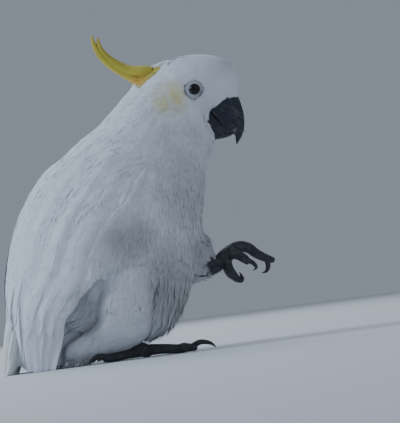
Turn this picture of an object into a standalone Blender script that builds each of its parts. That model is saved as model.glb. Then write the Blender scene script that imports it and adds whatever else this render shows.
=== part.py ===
"""A life-size sulphur-crested cockatoo that stands on its right foot and holds its left foot up.

The bird faces +X, its right side is at -Y and the floor is at Z = 0. Each tract of the body is a loft
through elliptical sections, and toes, claws and crest plumes are tapered tubes.
"""

from math import cos, pi, sin

import bmesh
import bpy
from mathutils import Vector

# Driving dimensions, in metres
MM = 0.001
CLEARANCE = 0.0003
EYE_RADIUS = 0.0080
EYE_CENTRE = Vector((0.1310, 0.0277, 0.2822))
SOLE_CENTRE = Vector((0.0400, -0.0100, 0.0))
RAISED_PALM = Vector((0.1480, 0.0270, 0.0985))
FRAME_SHIFT = Vector((-0.0371, 0.0, 0.0))
FLOOR_SIZE = 0.3
WING_PLATE_HALF_DEPTH = 0.06

# Resolution of the lofts and tubes
BODY_SIDES = 24
LIMB_SIDES = 14
BILL_SIDES = 12
CREST_SIDES = 10
TAIL_SIDES = 16
TARSUS_SIDES = 10
TOE_SIDES = 8
CLAW_SIDES = 6
EYE_SEGMENTS = 14
EYE_RINGS = 8
WING_RINGS = 18

# Sections of the head, neck and trunk in millimetres: the upper point (x, z), the lower point (x, z) and
# the half width across the body
BODY_SECTIONS = [
    ((182.6, 285.0), (177.5, 272.5), 8),
    ((181.8, 299.0), (165.5, 271.5), 17),
    ((172.5, 312.8), (152.5, 264.0), 23.5),
    ((157.6, 321.0), (141.5, 256.0), 29.5),
    ((134.0, 324.4), (136.0, 242.0), 33.2),
    ((106.0, 322.6), (143.2, 228.5), 35),
    ((80.0, 307.5), (140.0, 213.0), 37),
    ((54.0, 288.5), (131.5, 198.0), 42),
    ((26.0, 262.5), (128.8, 178.0), 51),
    ((-10.0, 239.0), (122.0, 155.0), 61),
    ((-44.0, 208.5), (119.0, 130.0), 67),
    ((-66.0, 172.0), (110.0, 99.0), 64),
    ((-80.0, 134.0), (94.0, 64.0), 53),
    ((-87.0, 104.0), (68.0, 27.0), 39),
    ((-89.0, 82.0), (22.0, 22.0), 29),
    ((-90.0, 66.0), (-38.0, 36.0), 21),
]
NECK_START = 5.6
TRUNK_START = 8.1
BODY_GAP = 0.011

# Sections of the surface that the folded wings lie on, as for the body, and the wing's thickness there
WING_BED_SECTIONS = [
    ((80.0, 307.0), (140.0, 213.0), 37, 0.5),
    ((54.0, 288.0), (131.5, 198.0), 42, 0.8),
    ((26.0, 262.0), (128.8, 178.0), 51, 1.6),
    ((-10.0, 238.5), (122.0, 155.0), 61.2, 3.4),
    ((-44.0, 208.2), (119.0, 130.0), 67.2, 6.4),
    ((-67.5, 173.0), (110.0, 99.0), 67, 9.0),
    ((-81.5, 138.0), (94.0, 64.0), 63.5, 10.0),
    ((-89.5, 107.0), (62.0, 38.0), 56, 10.0),
    ((-95.0, 79.0), (4.0, 28.0), 47, 9.6),
    ((-98.0, 54.0), (-22.0, 0.0), 40, 8.0),
    ((-98.0, 31.0), (-38.0, -24.0), 36, 6.0),
    ((-97.0, 8.0), (-46.0, -42.0), 33, 4.5),
]

# Outline of a folded wing seen from the side: the bend, the scapulars, the back, the tip and the edge
WING_OUTLINE = [
    (50, 176), (47, 198), (30, 216), (0, 226), (-26, 224), (-52, 222), (-90, 215), (-130, 140), (-128, 50),
    (-126, -12), (-95, -14), (-70, -13), (-58.5, -4), (-53, 14), (-44, 34), (-35, 56), (-23, 74), (-8, 81), (3, 92),
    (6, 118), (20, 142), (42, 158),
]

# Sections of the tail, the thighs (with how far the section lies to the left) and the bill, as for the body
TAIL_SECTIONS = [
    ((-92.0, 96.0), (-66.0, 70.0), 17),
    ((-101.0, 78.0), (-76.0, 58.0), 22),
    ((-109.0, 52.0), (-85.5, 36.0), 27),
    ((-115.0, 26.0), (-94.0, 15.0), 31),
    ((-121.5, -6.0), (-104.0, -8.0), 35),
]

STANDING_THIGH_SECTIONS = [
    ((66.0, 132.0), (6.0, 126.0), 15, -26),
    ((71.0, 108.0), (3.0, 101.0), 24, -37),
    ((63.0, 76.0), (-1.5, 72.0), 28, -37),
    ((56.0, 51.0), (-6.0, 47.0), 27, -33),
    ((51.0, 32.0), (-24.0, 34.0), 24, -27),
    ((44.0, 20.0), (-43.5, 24.0), 18, -22),
    ((26.0, 13.0), (-51.0, 7.0), 10, -17),
]

RAISED_THIGH_SECTIONS = [
    ((66.0, 134.0), (60.0, 66.0), 18, 30),
    ((100.0, 143.0), (80.0, 50.0), 25, 34),
    ((121.5, 133.0), (95.5, 69.5), 23, 33),
    ((128.8, 114.0), (109.0, 75.0), 16, 30),
    ((131.0, 99.5), (120.5, 79.5), 10, 28),
]

UPPER_BILL_SECTIONS = [
    ((169.5, 280.0), (136.5, 266.0), 12.5),
    ((177.4, 272.2), (141.5, 260.5), 14.2),
    ((180.6, 260.0), (149.0, 251.0), 14.2),
    ((181.6, 248.0), (156.5, 243.0), 12),
    ((180.3, 238.0), (164.5, 236.0), 8.6),
    ((176.8, 229.0), (169.2, 229.5), 4.6),
    ((172.6, 223.3), (169.0, 223.8), 2),
    ((169.9, 219.8), (169.0, 220.0), 0.5),
]

LOWER_BILL_SECTIONS = [
    ((143.5, 263.5), (131.5, 258.5), 11),
    ((148.0, 257.5), (131.0, 243.0), 15),
    ((155.0, 250.0), (141.5, 229.0), 15.2),
    ((162.0, 243.5), (154.0, 227.9), 10.5),
    ((167.0, 237.0), (162.5, 229.5), 6),
    ((168.6, 233.6), (167.0, 231.4), 2.4),
]

# Centre line of each crest tract (x, z) and its radius, from the root to the recurved tip
CREST_TRACTS = {
    "crest_upper": [
        (98, 309.5, 6.5), (79, 311.5, 8.4), (62, 315, 7.4), (47.5, 325, 6), (37, 336.5, 4.4), (33, 347, 2.8),
        (32.8, 357.4, 1),
    ],
    "crest_lower": [
        (84, 301, 4.5), (70, 303, 5.5), (56, 313.5, 5.5), (42, 325.5, 5), (32.4, 338, 4.2), (27.8, 349, 2.7),
        (26.3, 360.4, 1),
    ],
}
CREST_HALF_WIDTH_SCALE = 1.15

# Toes of a foot on the floor, from the palm outwards: (forward, outward, height, radius). Outward is
# measured away from the body's middle plane
STANDING_TOES = {
    1: [(-4, -4, 6, 5.2), (-14, -8, 5.4, 4.8), (-23, -13, 4.8, 4.4)],
    2: [(5, -5, 7, 5.6), (18, -11, 6.2, 5.2), (29, -16, 4.6, 5.0), (36, -19, 4.4, 4.2)],
    3: [(6, 2, 8, 6.0), (24, 7, 6.8, 5.6), (38, 12, 4.7, 5.2), (47, 15, 5.4, 4.8), (55, 18, 4.3, 4.2)],
    4: [(-5, 3, 7, 5.8), (-20, 8, 6.2, 5.2), (-33, 14, 4.6, 5.0), (-43, 18, 4.3, 4.2)],
}
STANDING_CLAWS = {
    1: [(-22, -13, 6.2, 2.8), (-28, -16, 6.8, 2.4), (-33, -18.5, 4.6, 1.6), (-35.5, -20, 1.2, 0.6)],
    2: [(35, -19, 6.0, 3.2), (43, -22, 7.6, 2.8), (50, -24.5, 5.2, 1.9), (53.5, -26, 1.3, 0.6)],
    3: [(53, 17.5, 6.6, 3.4), (62, 20, 9.4, 3.1), (72.5, 23, 6.8, 2.1), (78, 24.5, 1.4, 0.6)],
    4: [(-41, 17, 6.4, 3.2), (-49, 20, 7.8, 2.8), (-57, 22.5, 5.0, 1.9), (-61, 24, 1.3, 0.6)],
}

# Toes of the raised foot: (x, side, z, radius), where side is measured outward from the palm's centre
RAISED_TOES = {
    1: [(142, -5, 93, 5.4), (143.2, -8, 85, 5.2), (146.8, -10, 77.2, 4.9), (151.4, -11, 71.4, 4.2)],
    2: [(150, -6, 101, 6.0), (156.5, -9, 97.4, 5.2), (161.5, -11, 93.5, 5.0), (165.2, -12, 89.6, 4.2)],
    3: [(146, 3, 104, 7.0), (157, 5, 107.6, 6.8), (167.5, 8, 105.2, 6.0), (176, 10, 97.6, 5.4),
        (185.0, 11.5, 91.8, 4.8), (193.2, 12.5, 88.2, 3.6)],
    4: [(142, 5, 94, 5.6), (141.6, 10, 86, 5.2), (145.0, 14, 78.5, 4.9), (150.6, 16, 73.5, 4.2)],
}
RAISED_CLAWS = {
    1: [(151, -11, 70.6, 3.0), (155.2, -11.4, 69.6, 2.4), (157.2, -11.8, 72.4, 1.5), (156, -12, 76.2, 0.6)],
    2: [(165.5, -12, 91.2, 3.0), (170.6, -12.6, 87.2, 2.6), (173.3, -13, 82.2, 2), (169.6, -13.4, 79.2, 0.6)],
    3: [(186.6, 11.6, 89.4, 3.2), (187.4, 12, 82.6, 2.9), (184.8, 12.4, 77.0, 2.0), (179.3, 12.6, 75.4, 0.6)],
    4: [(150.2, 16, 72.6, 3.0), (154.8, 16.6, 72.4, 2.4), (156.2, 17, 76.0, 1.5), (154, 17.2, 79.6, 0.6)],
}

# Tarsus and palm of each leg: (x, y, z, radius)
STANDING_TARSUS = [
    (8, -14, 31, 6.4), (18, -13, 23, 6.6), (29, -11.5, 14.6, 7.0), (40, -10, 7.7, 8.2), (43, -10, 7.1, 7.6),
]
RAISED_TARSUS = [
    (110, 28, 91, 7), (122.5, 28, 88, 8.6), (132, 27.5, 91.5, 8.2), (141, 27, 98.5, 9), (149, 27, 104, 8.4),
]


# Scene and helpers


def clear_scene():
    for item in list(bpy.data.objects):
        bpy.data.objects.remove(item, do_unlink=True)


def new_collection(name):
    collection = bpy.data.collections.new(name)
    bpy.context.scene.collection.children.link(collection)
    return collection


def principled(name, color, roughness):
    material = bpy.data.materials.new(name)
    material.use_nodes = True
    shader = material.node_tree.nodes["Principled BSDF"]
    shader.inputs["Base Color"].default_value = (*color, 1.0)
    shader.inputs["Roughness"].default_value = roughness
    shader.inputs["Metallic"].default_value = 0.0
    material.diffuse_color = (*color, 1.0)
    return material


def catmull_rom(values, position):
    """The value at a position along a list of equal-length tuples, on a curve through all of them."""
    last = len(values) - 1
    index = min(int(position), last - 1)
    t = position - index
    before = values[max(index - 1, 0)]
    start = values[index]
    end = values[index + 1]
    after = values[min(index + 2, last)]
    blended = []
    for a, b, c, d in zip(before, start, end, after):
        cubic = 2 * b + (c - a) * t + (2 * a - 5 * b + 4 * c - d) * t**2 + (3 * b - a - 3 * c + d) * t**3
        blended.append(cubic / 2)
    return blended


def even_steps(first, last, count):
    return [first + (last - first) * step / (count - 1) for step in range(count)]


def section_values(sections):
    """Each section as one flat tuple in metres: upper x z, lower x z, half width and side offset."""
    flat = []
    for upper, lower, half_width, *offset in sections:
        side = offset[0] if offset else 0.0
        flat.append([value * MM for value in (*upper, *lower, half_width, side)])
    return flat


def section_ring(values, sides):
    """The points of one elliptical section."""
    upper = Vector((values[0], 0.0, values[1]))
    lower = Vector((values[2], 0.0, values[3]))
    centre = (upper + lower) / 2
    centre.y = values[5]
    reach = (upper - lower) / 2
    across = Vector((0.0, values[4], 0.0))
    angles = [2 * pi * step / sides for step in range(sides)]
    return [centre + reach * cos(angle) + across * sin(angle) for angle in angles]


def finish_mesh(shape, name, grow, collection):
    """Turns the faces outwards, moves the surface out by grow and makes an object of it."""
    shape.normal_update()
    bmesh.ops.recalc_face_normals(shape, faces=shape.faces)
    shape.normal_update()
    moves = [vertex.normal * vertex.calc_shell_factor() * grow for vertex in shape.verts]
    for vertex, move in zip(shape.verts, moves):
        vertex.co += move
    mesh = bpy.data.meshes.new(name)
    shape.to_mesh(mesh)
    shape.free()
    mesh.shade_smooth()
    item = bpy.data.objects.new(name, mesh)
    collection.objects.link(item)
    return item


def skin_rings(name, rings, collection, grow):
    """A closed mesh over a row of rings."""
    shape = bmesh.new()
    rows = [[shape.verts.new(point) for point in ring] for ring in rings]
    for row, following in zip(rows, rows[1:]):
        for index in range(len(row)):
            after = (index + 1) % len(row)
            shape.faces.new((row[index], row[after], following[after], following[index]))
    for row in (rows[0], rows[-1]):
        shape.faces.new(row)
    bmesh.ops.triangulate(shape, faces=shape.faces, quad_method="FIXED")
    return finish_mesh(shape, name, grow, collection)


def loft(name, sections, rings, sides, collection, grow=0.0, span=None):
    """A closed body through the sections."""
    values = section_values(sections)
    first, last = span or (0, len(values) - 1)
    rows = [section_ring(catmull_rom(values, position), sides) for position in even_steps(first, last, rings)]
    return skin_rings(name, rows, collection, grow)


def mesh_of_curve(curve, collection):
    """The curve's closed surface as a bmesh, with its caps welded on."""
    guide = bpy.data.objects.new("guide", curve)
    collection.objects.link(guide)
    graph = bpy.context.evaluated_depsgraph_get()
    mesh = bpy.data.meshes.new_from_object(guide.evaluated_get(graph))
    bpy.data.objects.remove(guide, do_unlink=True)
    shape = bmesh.new()
    shape.from_mesh(mesh)
    bpy.data.meshes.remove(mesh)
    bmesh.ops.remove_doubles(shape, verts=shape.verts, dist=0.00001)
    return shape


def tube(name, points, count, sides, collection, grow=0.0):
    """A tapered round bar along a smooth line through (x, y, z, radius) points in metres."""
    path = [catmull_rom(points, position) for position in even_steps(0, len(points) - 1, count)]
    curve = bpy.data.curves.new(name, "CURVE")
    curve.dimensions = "3D"
    curve.bevel_depth = 1.0
    curve.bevel_resolution = (sides - 4) // 2
    curve.use_fill_caps = True
    line = curve.splines.new("POLY")
    line.points.add(len(path) - 1)
    for point, (x, y, z, radius) in zip(line.points, path):
        point.co = (x, y, z, 1.0)
        point.radius = radius
    return finish_mesh(mesh_of_curve(curve, collection), name, grow, collection)


def box(name, low, high, collection):
    mesh = bpy.data.meshes.new(name)
    shape = bmesh.new()
    bmesh.ops.create_cube(shape, size=1.0)
    for vertex in shape.verts:
        for axis in range(3):
            vertex.co[axis] = low[axis] if vertex.co[axis] < 0 else high[axis]
    shape.to_mesh(mesh)
    shape.free()
    item = bpy.data.objects.new(name, mesh)
    collection.objects.link(item)
    return item


def ball(name, centre, radius, collection):
    mesh = bpy.data.meshes.new(name)
    shape = bmesh.new()
    bmesh.ops.create_uvsphere(shape, u_segments=EYE_SEGMENTS, v_segments=EYE_RINGS, radius=radius)
    shape.to_mesh(mesh)
    shape.free()
    mesh.shade_smooth()
    item = bpy.data.objects.new(name, mesh)
    item.location = centre
    collection.objects.link(item)
    return item


def combine(item, operation, other, solver="EXACT"):
    modifier = item.modifiers.new(other.name, "BOOLEAN")
    modifier.operation = operation
    modifier.solver = solver
    modifier.object = other


def cut(item, *cutters, solver="EXACT"):
    for cutter in cutters:
        combine(item, "DIFFERENCE", cutter, solver)


def millimetres(points):
    return [[value * MM for value in point] for point in points]


# Parts of the bird


class Bird:
    """Keeps the collections, the materials and the empty that carries every part."""

    def __init__(self):
        self.parts = new_collection("cockatoo")
        self.cutters = new_collection("cockatoo_cutters")
        self.carrier = bpy.data.objects.new("cockatoo_frame", None)
        self.carrier.location = FRAME_SHIFT
        self.parts.objects.link(self.carrier)
        self.white = principled("plumage", (0.78, 0.80, 0.84), 0.85)
        self.yellow = principled("crest_feathers", (0.80, 0.66, 0.08), 0.8)
        self.horn = principled("bill_horn", (0.035, 0.04, 0.05), 0.55)
        self.scale = principled("foot_scales", (0.03, 0.033, 0.04), 0.7)
        self.claw = principled("claw_horn", (0.015, 0.015, 0.02), 0.4)
        self.eye = principled("eye_surface", (0.01, 0.008, 0.006), 0.08)
        low = (-FLOOR_SIZE, -FLOOR_SIZE, -FLOOR_SIZE)
        high = (FLOOR_SIZE, FLOOR_SIZE, 0.0)
        self.floor = self.as_cutter(box("floor_cut", low, high, self.cutters))

    def add(self, item, material):
        item.data.materials.append(material)
        item.parent = self.carrier
        return item

    def as_cutter(self, item):
        item.hide_render = True
        item.display_type = "WIRE"
        item.parent = self.carrier
        return item


def make_body(bird):
    """Head, neck and trunk share one surface, parted by thin gaps across it."""
    body_end = len(BODY_SECTIONS) - 1
    spans = {
        "head": (0, NECK_START - BODY_GAP, 13),
        "neck": (NECK_START, TRUNK_START - BODY_GAP, 6),
        "trunk": (TRUNK_START, body_end, 14),
    }
    made = {}
    for name, (first, last, rings) in spans.items():
        item = loft(name, BODY_SECTIONS, rings, BODY_SIDES, bird.parts, span=(first, last))
        made[name] = bird.add(item, bird.white)
    return made


def make_bill(bird, head):
    """The upper bill overhangs the lower one, and both are bedded in the face."""
    rooms = []
    for name, sections, rings in (
        ("bill_upper", UPPER_BILL_SECTIONS, 11),
        ("bill_lower", LOWER_BILL_SECTIONS, 8),
    ):
        bill = bird.add(loft(name, sections, rings, BILL_SIDES, bird.parts), bird.horn)
        cut(bill, *rooms)
        room = loft(name + "_room", sections, rings, BILL_SIDES, bird.cutters, grow=CLEARANCE)
        rooms.append(bird.as_cutter(room))
    cut(head, *rooms, solver="MANIFOLD")


def make_eyes(bird, head):
    for name, side in (("right", -1), ("left", 1)):
        centre = Vector((EYE_CENTRE.x, EYE_CENTRE.y * side, EYE_CENTRE.z))
        bird.add(ball("eye_" + name, centre, EYE_RADIUS, bird.parts), bird.eye)
        socket = ball("socket_" + name, centre, EYE_RADIUS + CLEARANCE, bird.cutters)
        cut(head, bird.as_cutter(socket), solver="MANIFOLD")


def crest_loft(name, points, collection, grow=0.0):
    """A crest tract as a loft whose sections stand square to its centre line."""
    sections = []
    for index, (x, z, radius) in enumerate(points):
        before = points[max(index - 1, 0)]
        after = points[min(index + 1, len(points) - 1)]
        along = Vector((after[0] - before[0], after[1] - before[1])).normalized()
        across = Vector((along.y, -along.x)) * radius
        upper = (x + across.x, z + across.y)
        lower = (x - across.x, z - across.y)
        sections.append((upper, lower, radius * CREST_HALF_WIDTH_SCALE))
    return loft(name, sections, 11, CREST_SIDES, collection, grow=grow)


def make_crest(bird, body):
    """The long upper tract lies on the lower one, and both are bedded in the back of the crown."""
    rooms = []
    for name, points in CREST_TRACTS.items():
        tract = bird.add(crest_loft(name, points, bird.parts), bird.yellow)
        cut(tract, *rooms)
        rooms.append(bird.as_cutter(crest_loft(name + "_room", points, bird.cutters, CLEARANCE)))
    for name in ("head", "neck"):
        cut(body[name], *rooms, solver="MANIFOLD")


def wing_outline(bird, side):
    """The wing's side view as a plate that reaches from the middle plane outwards."""
    name = "wing_outline_right" if side < 0 else "wing_outline_left"
    curve = bpy.data.curves.new(name, "CURVE")
    curve.dimensions = "2D"
    curve.fill_mode = "BOTH"
    curve.extrude = WING_PLATE_HALF_DEPTH
    curve.resolution_u = 3
    line = curve.splines.new("BEZIER")
    line.bezier_points.add(len(WING_OUTLINE) - 1)
    for point, (x, z) in zip(line.bezier_points, WING_OUTLINE):
        point.co = (x * MM, z * MM, 0.0)
        point.handle_left_type = "AUTO"
        point.handle_right_type = "AUTO"
    line.use_cyclic_u = True
    shape = mesh_of_curve(curve, bird.cutters)
    for vertex in shape.verts:
        x, z, depth = vertex.co
        vertex.co = (x, side * (CLEARANCE / 2 + WING_PLATE_HALF_DEPTH + depth), z)
    return bird.as_cutter(finish_mesh(shape, name, 0.0, bird.cutters))


def wing_cover(sections):
    """The outer surface of the folded wings: each section of the bed made larger by the thickness there."""
    covers = []
    for upper, lower, half_width, thickness in sections:
        along = (Vector(upper) - Vector(lower)).normalized() * thickness
        covers.append((tuple(Vector(upper) + along), tuple(Vector(lower) - along), half_width + thickness))
    return covers


def make_wings(bird, others):
    """Each folded wing is the shell between the wing bed and its cover, cut to the wing's outline."""
    bed_sections = [section[:3] for section in WING_BED_SECTIONS]
    bed = bird.as_cutter(loft("wing_bed", bed_sections, WING_RINGS, BODY_SIDES, bird.cutters, grow=CLEARANCE))
    for name, side in (("wing_right", -1), ("wing_left", 1)):
        wing = loft(name, wing_cover(WING_BED_SECTIONS), WING_RINGS, BODY_SIDES, bird.parts)
        bird.add(wing, bird.white)
        combine(wing, "INTERSECT", wing_outline(bird, side), "MANIFOLD")
        cut(wing, bed, *others, bird.floor, solver="MANIFOLD")


def make_tail(bird, trunk):
    tail = bird.add(loft("tail", TAIL_SECTIONS, 7, TAIL_SIDES, bird.parts), bird.white)
    room = bird.as_cutter(loft("tail_room", TAIL_SECTIONS, 7, TAIL_SIDES, bird.cutters, grow=CLEARANCE))
    cut(tail, bird.floor)
    cut(trunk, room, solver="MANIFOLD")
    return room


def leg_bodies(side, thigh, tarsus, collection, suffix="", grow=0.0):
    """The feathered thigh and the bare tarsus of one leg."""
    leg = loft(f"thigh_{side}{suffix}", thigh, 9, LIMB_SIDES, collection, grow=grow)
    shank = tube(f"tarsus_{side}{suffix}", millimetres(tarsus), 8, TARSUS_SIDES, collection, grow)
    return leg, shank


def make_legs(bird, trunk):
    """Both thighs are bedded in the trunk. The result holds the room that each leg piece takes."""
    rooms = {}
    for side, thigh, tarsus in (
        ("right", STANDING_THIGH_SECTIONS, STANDING_TARSUS),
        ("left", RAISED_THIGH_SECTIONS, RAISED_TARSUS),
    ):
        leg, shank = leg_bodies(side, thigh, tarsus, bird.parts)
        bird.add(leg, bird.white)
        bird.add(shank, bird.scale)
        pair = leg_bodies(side, thigh, tarsus, bird.cutters, "_room", CLEARANCE)
        rooms[side] = [bird.as_cutter(room) for room in pair]
        cut(shank, bird.floor)
        cut(leg, rooms[side][1])
        cut(trunk, *rooms[side], solver="MANIFOLD")
    return rooms


def toe_points(foot, points):
    """Points of one toe or claw in metres, from the foot's own measures."""
    placed = []
    for along, outward, height, radius in points:
        if foot == "right":
            x = SOLE_CENTRE.x + along * MM
            y = SOLE_CENTRE.y - outward * MM
        else:
            x = along * MM
            y = RAISED_PALM.y + outward * MM
        placed.append([x, y, height * MM, radius * MM])
    return placed


def make_feet(bird, rooms):
    """Two toes point forward and two back. Each toe makes way for the palm and for the toes before it."""
    for foot, toes, claws in (("right", STANDING_TOES, STANDING_CLAWS), ("left", RAISED_TOES, RAISED_CLAWS)):
        taken = list(rooms[foot])
        for number in (3, 2, 4, 1):
            name = f"{foot}_{number}"
            toe_line = toe_points(foot, toes[number])
            claw_line = toe_points(foot, claws[number])
            rings = 2 * len(toe_line) - 1
            toe = bird.add(tube("toe_" + name, toe_line, rings, TOE_SIDES, bird.parts), bird.scale)
            claw = bird.add(tube("claw_" + name, claw_line, 6, CLAW_SIDES, bird.parts), bird.claw)
            space = tube("toe_room_" + name, toe_line, rings, TOE_SIDES, bird.cutters, CLEARANCE)
            room = bird.as_cutter(space)
            cut(toe, *taken, bird.floor)
            cut(claw, room, bird.floor)
            taken.append(room)


def main():
    clear_scene()
    bird = Bird()
    body = make_body(bird)
    make_bill(bird, body["head"])
    make_eyes(bird, body["head"])
    make_crest(bird, body)
    leg_rooms = make_legs(bird, body["trunk"])
    tail_room = make_tail(bird, body["trunk"])
    trunk_room = loft("trunk_room", BODY_SECTIONS, 24, BODY_SIDES, bird.cutters, grow=CLEARANCE, span=(5, 15))
    make_wings(bird, [bird.as_cutter(trunk_room), tail_room, *leg_rooms["right"], *leg_rooms["left"]])
    make_feet(bird, leg_rooms)


main()
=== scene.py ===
import math

import bmesh
import bpy
import numpy as np
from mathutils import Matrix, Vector, noise
from mathutils.bvhtree import BVHTree


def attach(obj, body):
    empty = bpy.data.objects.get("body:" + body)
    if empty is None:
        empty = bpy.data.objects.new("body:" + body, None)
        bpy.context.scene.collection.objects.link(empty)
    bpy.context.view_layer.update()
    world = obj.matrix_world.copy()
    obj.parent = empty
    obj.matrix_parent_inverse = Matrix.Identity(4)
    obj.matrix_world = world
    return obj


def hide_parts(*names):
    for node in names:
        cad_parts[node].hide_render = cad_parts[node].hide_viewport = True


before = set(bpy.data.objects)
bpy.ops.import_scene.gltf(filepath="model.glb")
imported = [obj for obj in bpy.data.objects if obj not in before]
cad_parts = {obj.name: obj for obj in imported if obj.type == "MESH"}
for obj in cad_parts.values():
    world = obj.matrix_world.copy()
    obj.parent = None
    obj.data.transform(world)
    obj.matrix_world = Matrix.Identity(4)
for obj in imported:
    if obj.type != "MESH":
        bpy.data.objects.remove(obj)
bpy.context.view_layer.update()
rng = np.random.default_rng(7)

mm = 0.001
shiftX = -37.1  # the tables are in millimetres, and their x starts this far behind the frame's

eyePlace = (131.0, 27.7, 282.2)
fleshNodes = ["head", "neck", "trunk", "tail", "wing_right", "wing_left", "thigh_right", "thigh_left"]
billNodes = ["bill_upper", "bill_lower"]
crestNodes = ["crest_upper", "crest_lower"]

# Sections of each form: upper x z, lower x z, half width, side offset
bodyForm = [
    (182.6, 285.0, 177.5, 272.5, 8, 0),
    (181.8, 299.0, 165.5, 271.5, 17, 0),
    (172.5, 312.8, 152.5, 264.0, 23.5, 0),
    (157.6, 321.0, 141.5, 256.0, 29.5, 0),
    (134.0, 324.4, 136.0, 242.0, 33.2, 0),
    (106.0, 322.6, 143.2, 228.5, 35, 0),
    (80.0, 307.5, 140.0, 213.0, 37, 0),
    (54.0, 288.5, 131.5, 198.0, 42, 0),
    (26.0, 262.5, 128.8, 178.0, 51, 0),
    (-10.0, 239.0, 122.0, 155.0, 61, 0),
    (-44.0, 208.5, 119.0, 130.0, 67, 0),
    (-66.0, 172.0, 110.0, 99.0, 64, 0),
    (-80.0, 134.0, 94.0, 64.0, 53, 0),
    (-87.0, 104.0, 68.0, 27.0, 39, 0),
    (-89.0, 82.0, 22.0, 22.0, 29, 0),
    (-90.0, 66.0, -38.0, 36.0, 21, 0),
]
wingForm = [
    (80.3, 307.4, 139.7, 212.6, 37.5, 0),
    (54.5, 288.6, 131.0, 197.4, 42.8, 0),
    (24.8, 263.0, 130.0, 177.0, 52.6, 0),
    (-12.9, 240.3, 124.9, 153.2, 64.6, 0),
    (-49.8, 211.0, 124.8, 127.2, 73.6, 0),
    (-75.7, 176.4, 118.2, 95.6, 76, 0),
    (-90.7, 141.9, 103.2, 60.1, 73.5, 0),
    (-98.6, 111.2, 71.1, 33.8, 66, 0),
    (-103.6, 83.3, 12.6, 23.7, 56.6, 0),
    (-104.5, 58.6, -15.5, -4.6, 48, 0),
    (-102.4, 35.0, -33.6, -28.0, 42, 0),
    (-100.1, 11.2, -42.9, -45.2, 37.5, 0),
]
rightThighForm = [
    (66.0, 132.0, 6.0, 126.0, 15, -26),
    (71.0, 108.0, 3.0, 101.0, 24, -37),
    (63.0, 76.0, -1.5, 72.0, 28, -37),
    (56.0, 51.0, -6.0, 47.0, 27, -33),
    (51.0, 32.0, -24.0, 34.0, 24, -27),
    (44.0, 20.0, -43.5, 24.0, 18, -22),
    (26.0, 13.0, -51.0, 7.0, 10, -17),
]
leftThighForm = [
    (66.0, 134.0, 60.0, 66.0, 18, 30),
    (100.0, 143.0, 80.0, 50.0, 25, 34),
    (121.5, 133.0, 95.5, 69.5, 23, 33),
    (128.8, 114.0, 109.0, 75.0, 16, 30),
    (131.0, 99.5, 120.5, 79.5, 10, 28),
]
tailForm = [
    (-92.0, 96.0, -66.0, 70.0, 17, 0),
    (-101.0, 78.0, -76.0, 58.0, 22, 0),
    (-109.0, 52.0, -85.5, 36.0, 27, 0),
    (-115.0, 26.0, -94.0, 15.0, 31, 0),
    (-121.5, -6.0, -104.0, -8.0, 35, 0),
]


def lengths(vectors):
    return np.linalg.norm(vectors, axis=-1)


def unit(vectors):
    return vectors / np.maximum(lengths(vectors)[..., None], 1e-12)


def throughRows(rows, at):
    # values at positions along a list of rows, on a smooth curve, straight beyond its ends
    rows = np.asarray(rows, float)
    last = len(rows) - 1
    inside = np.clip(at, 0, last)
    index = np.minimum(inside.astype(int), last - 1)
    t = (inside - index)[..., None]
    a = rows[np.maximum(index - 1, 0)]
    b = rows[index]
    c = rows[index + 1]
    d = rows[np.minimum(index + 2, last)]
    value = (2 * b + (c - a) * t + (2 * a - 5 * b + 4 * c - d) * t**2 + (3 * b - a - 3 * c + d) * t**3) / 2
    return value + (rows[index + 1] - rows[index]) * (at - inside)[..., None]


def formPoints(form, along, around):
    # points on a form, in metres: around is 0 on the upper line and pi on the lower one
    if callable(form):
        return form(along, around)
    value = throughRows(form, along)
    cosine = np.cos(around)
    x = (value[..., 0] + value[..., 2]) / 2 + (value[..., 0] - value[..., 2]) / 2 * cosine + shiftX
    z = (value[..., 1] + value[..., 3]) / 2 + (value[..., 1] - value[..., 3]) / 2 * cosine
    y = value[..., 5] + value[..., 4] * np.sin(around)
    return np.stack([x, y, z], axis=-1) * mm


def placed(x, y, z):
    return Vector((x + shiftX, y, z)) * mm


eyeCentre = placed(*eyePlace)
# how far down the form the front edge of the folded wing lies, as a share, by place along it
wingEdge = (
    [0.0, 3.65, 4.2, 4.9, 5.6, 6.3, 6.7, 7.1, 7.8, 8.5, 9.25, 9.95, 11.5],
    [0.50, 0.545, 0.545, 0.50, 0.478, 0.50, 0.492, 0.475, 0.535, 0.60, 0.615, 0.635, 0.64],
)


def wingSurface(along, around):
    # the folded wings only: around runs from the middle of the back to the front edge at pi
    share = (1 - np.cos(around)) / 2 * np.interp(along, *wingEdge)
    turn = np.arccos(1 - 2 * share)
    return formPoints(wingForm, along, np.where(np.sin(around) < 0, 2 * math.pi - turn, turn))


def outwardOf(form, along, around):
    # the direction straight out of a form
    forward = formPoints(form, along + 0.02, around) - formPoints(form, along - 0.02, around)
    sideways = formPoints(form, along, around + 0.01) - formPoints(form, along, around - 0.01)
    normal = unit(np.cross(forward, sideways))
    upper = formPoints(form, along, np.zeros_like(around))
    lower = formPoints(form, along, np.full_like(around, math.pi))
    middle = (upper + lower) / 2
    middle[..., 1] *= 0.2
    outside = ((formPoints(form, along, around) - middle) * normal).sum(axis=-1)
    return normal * np.sign(outside)[..., None]


def turnPaceOf(form, along, around):
    # how far a place on a form moves for each radian of turn
    return lengths(formPoints(form, along, around + 0.02) - formPoints(form, along, around - 0.02)) / 0.04


def joined(shapes):
    whole = bmesh.new()
    for shape in shapes:
        mesh = bpy.data.meshes.new("part")
        shape.to_mesh(mesh)
        shape.free()
        whole.from_mesh(mesh)
        bpy.data.meshes.remove(mesh)
    return whole


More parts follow.
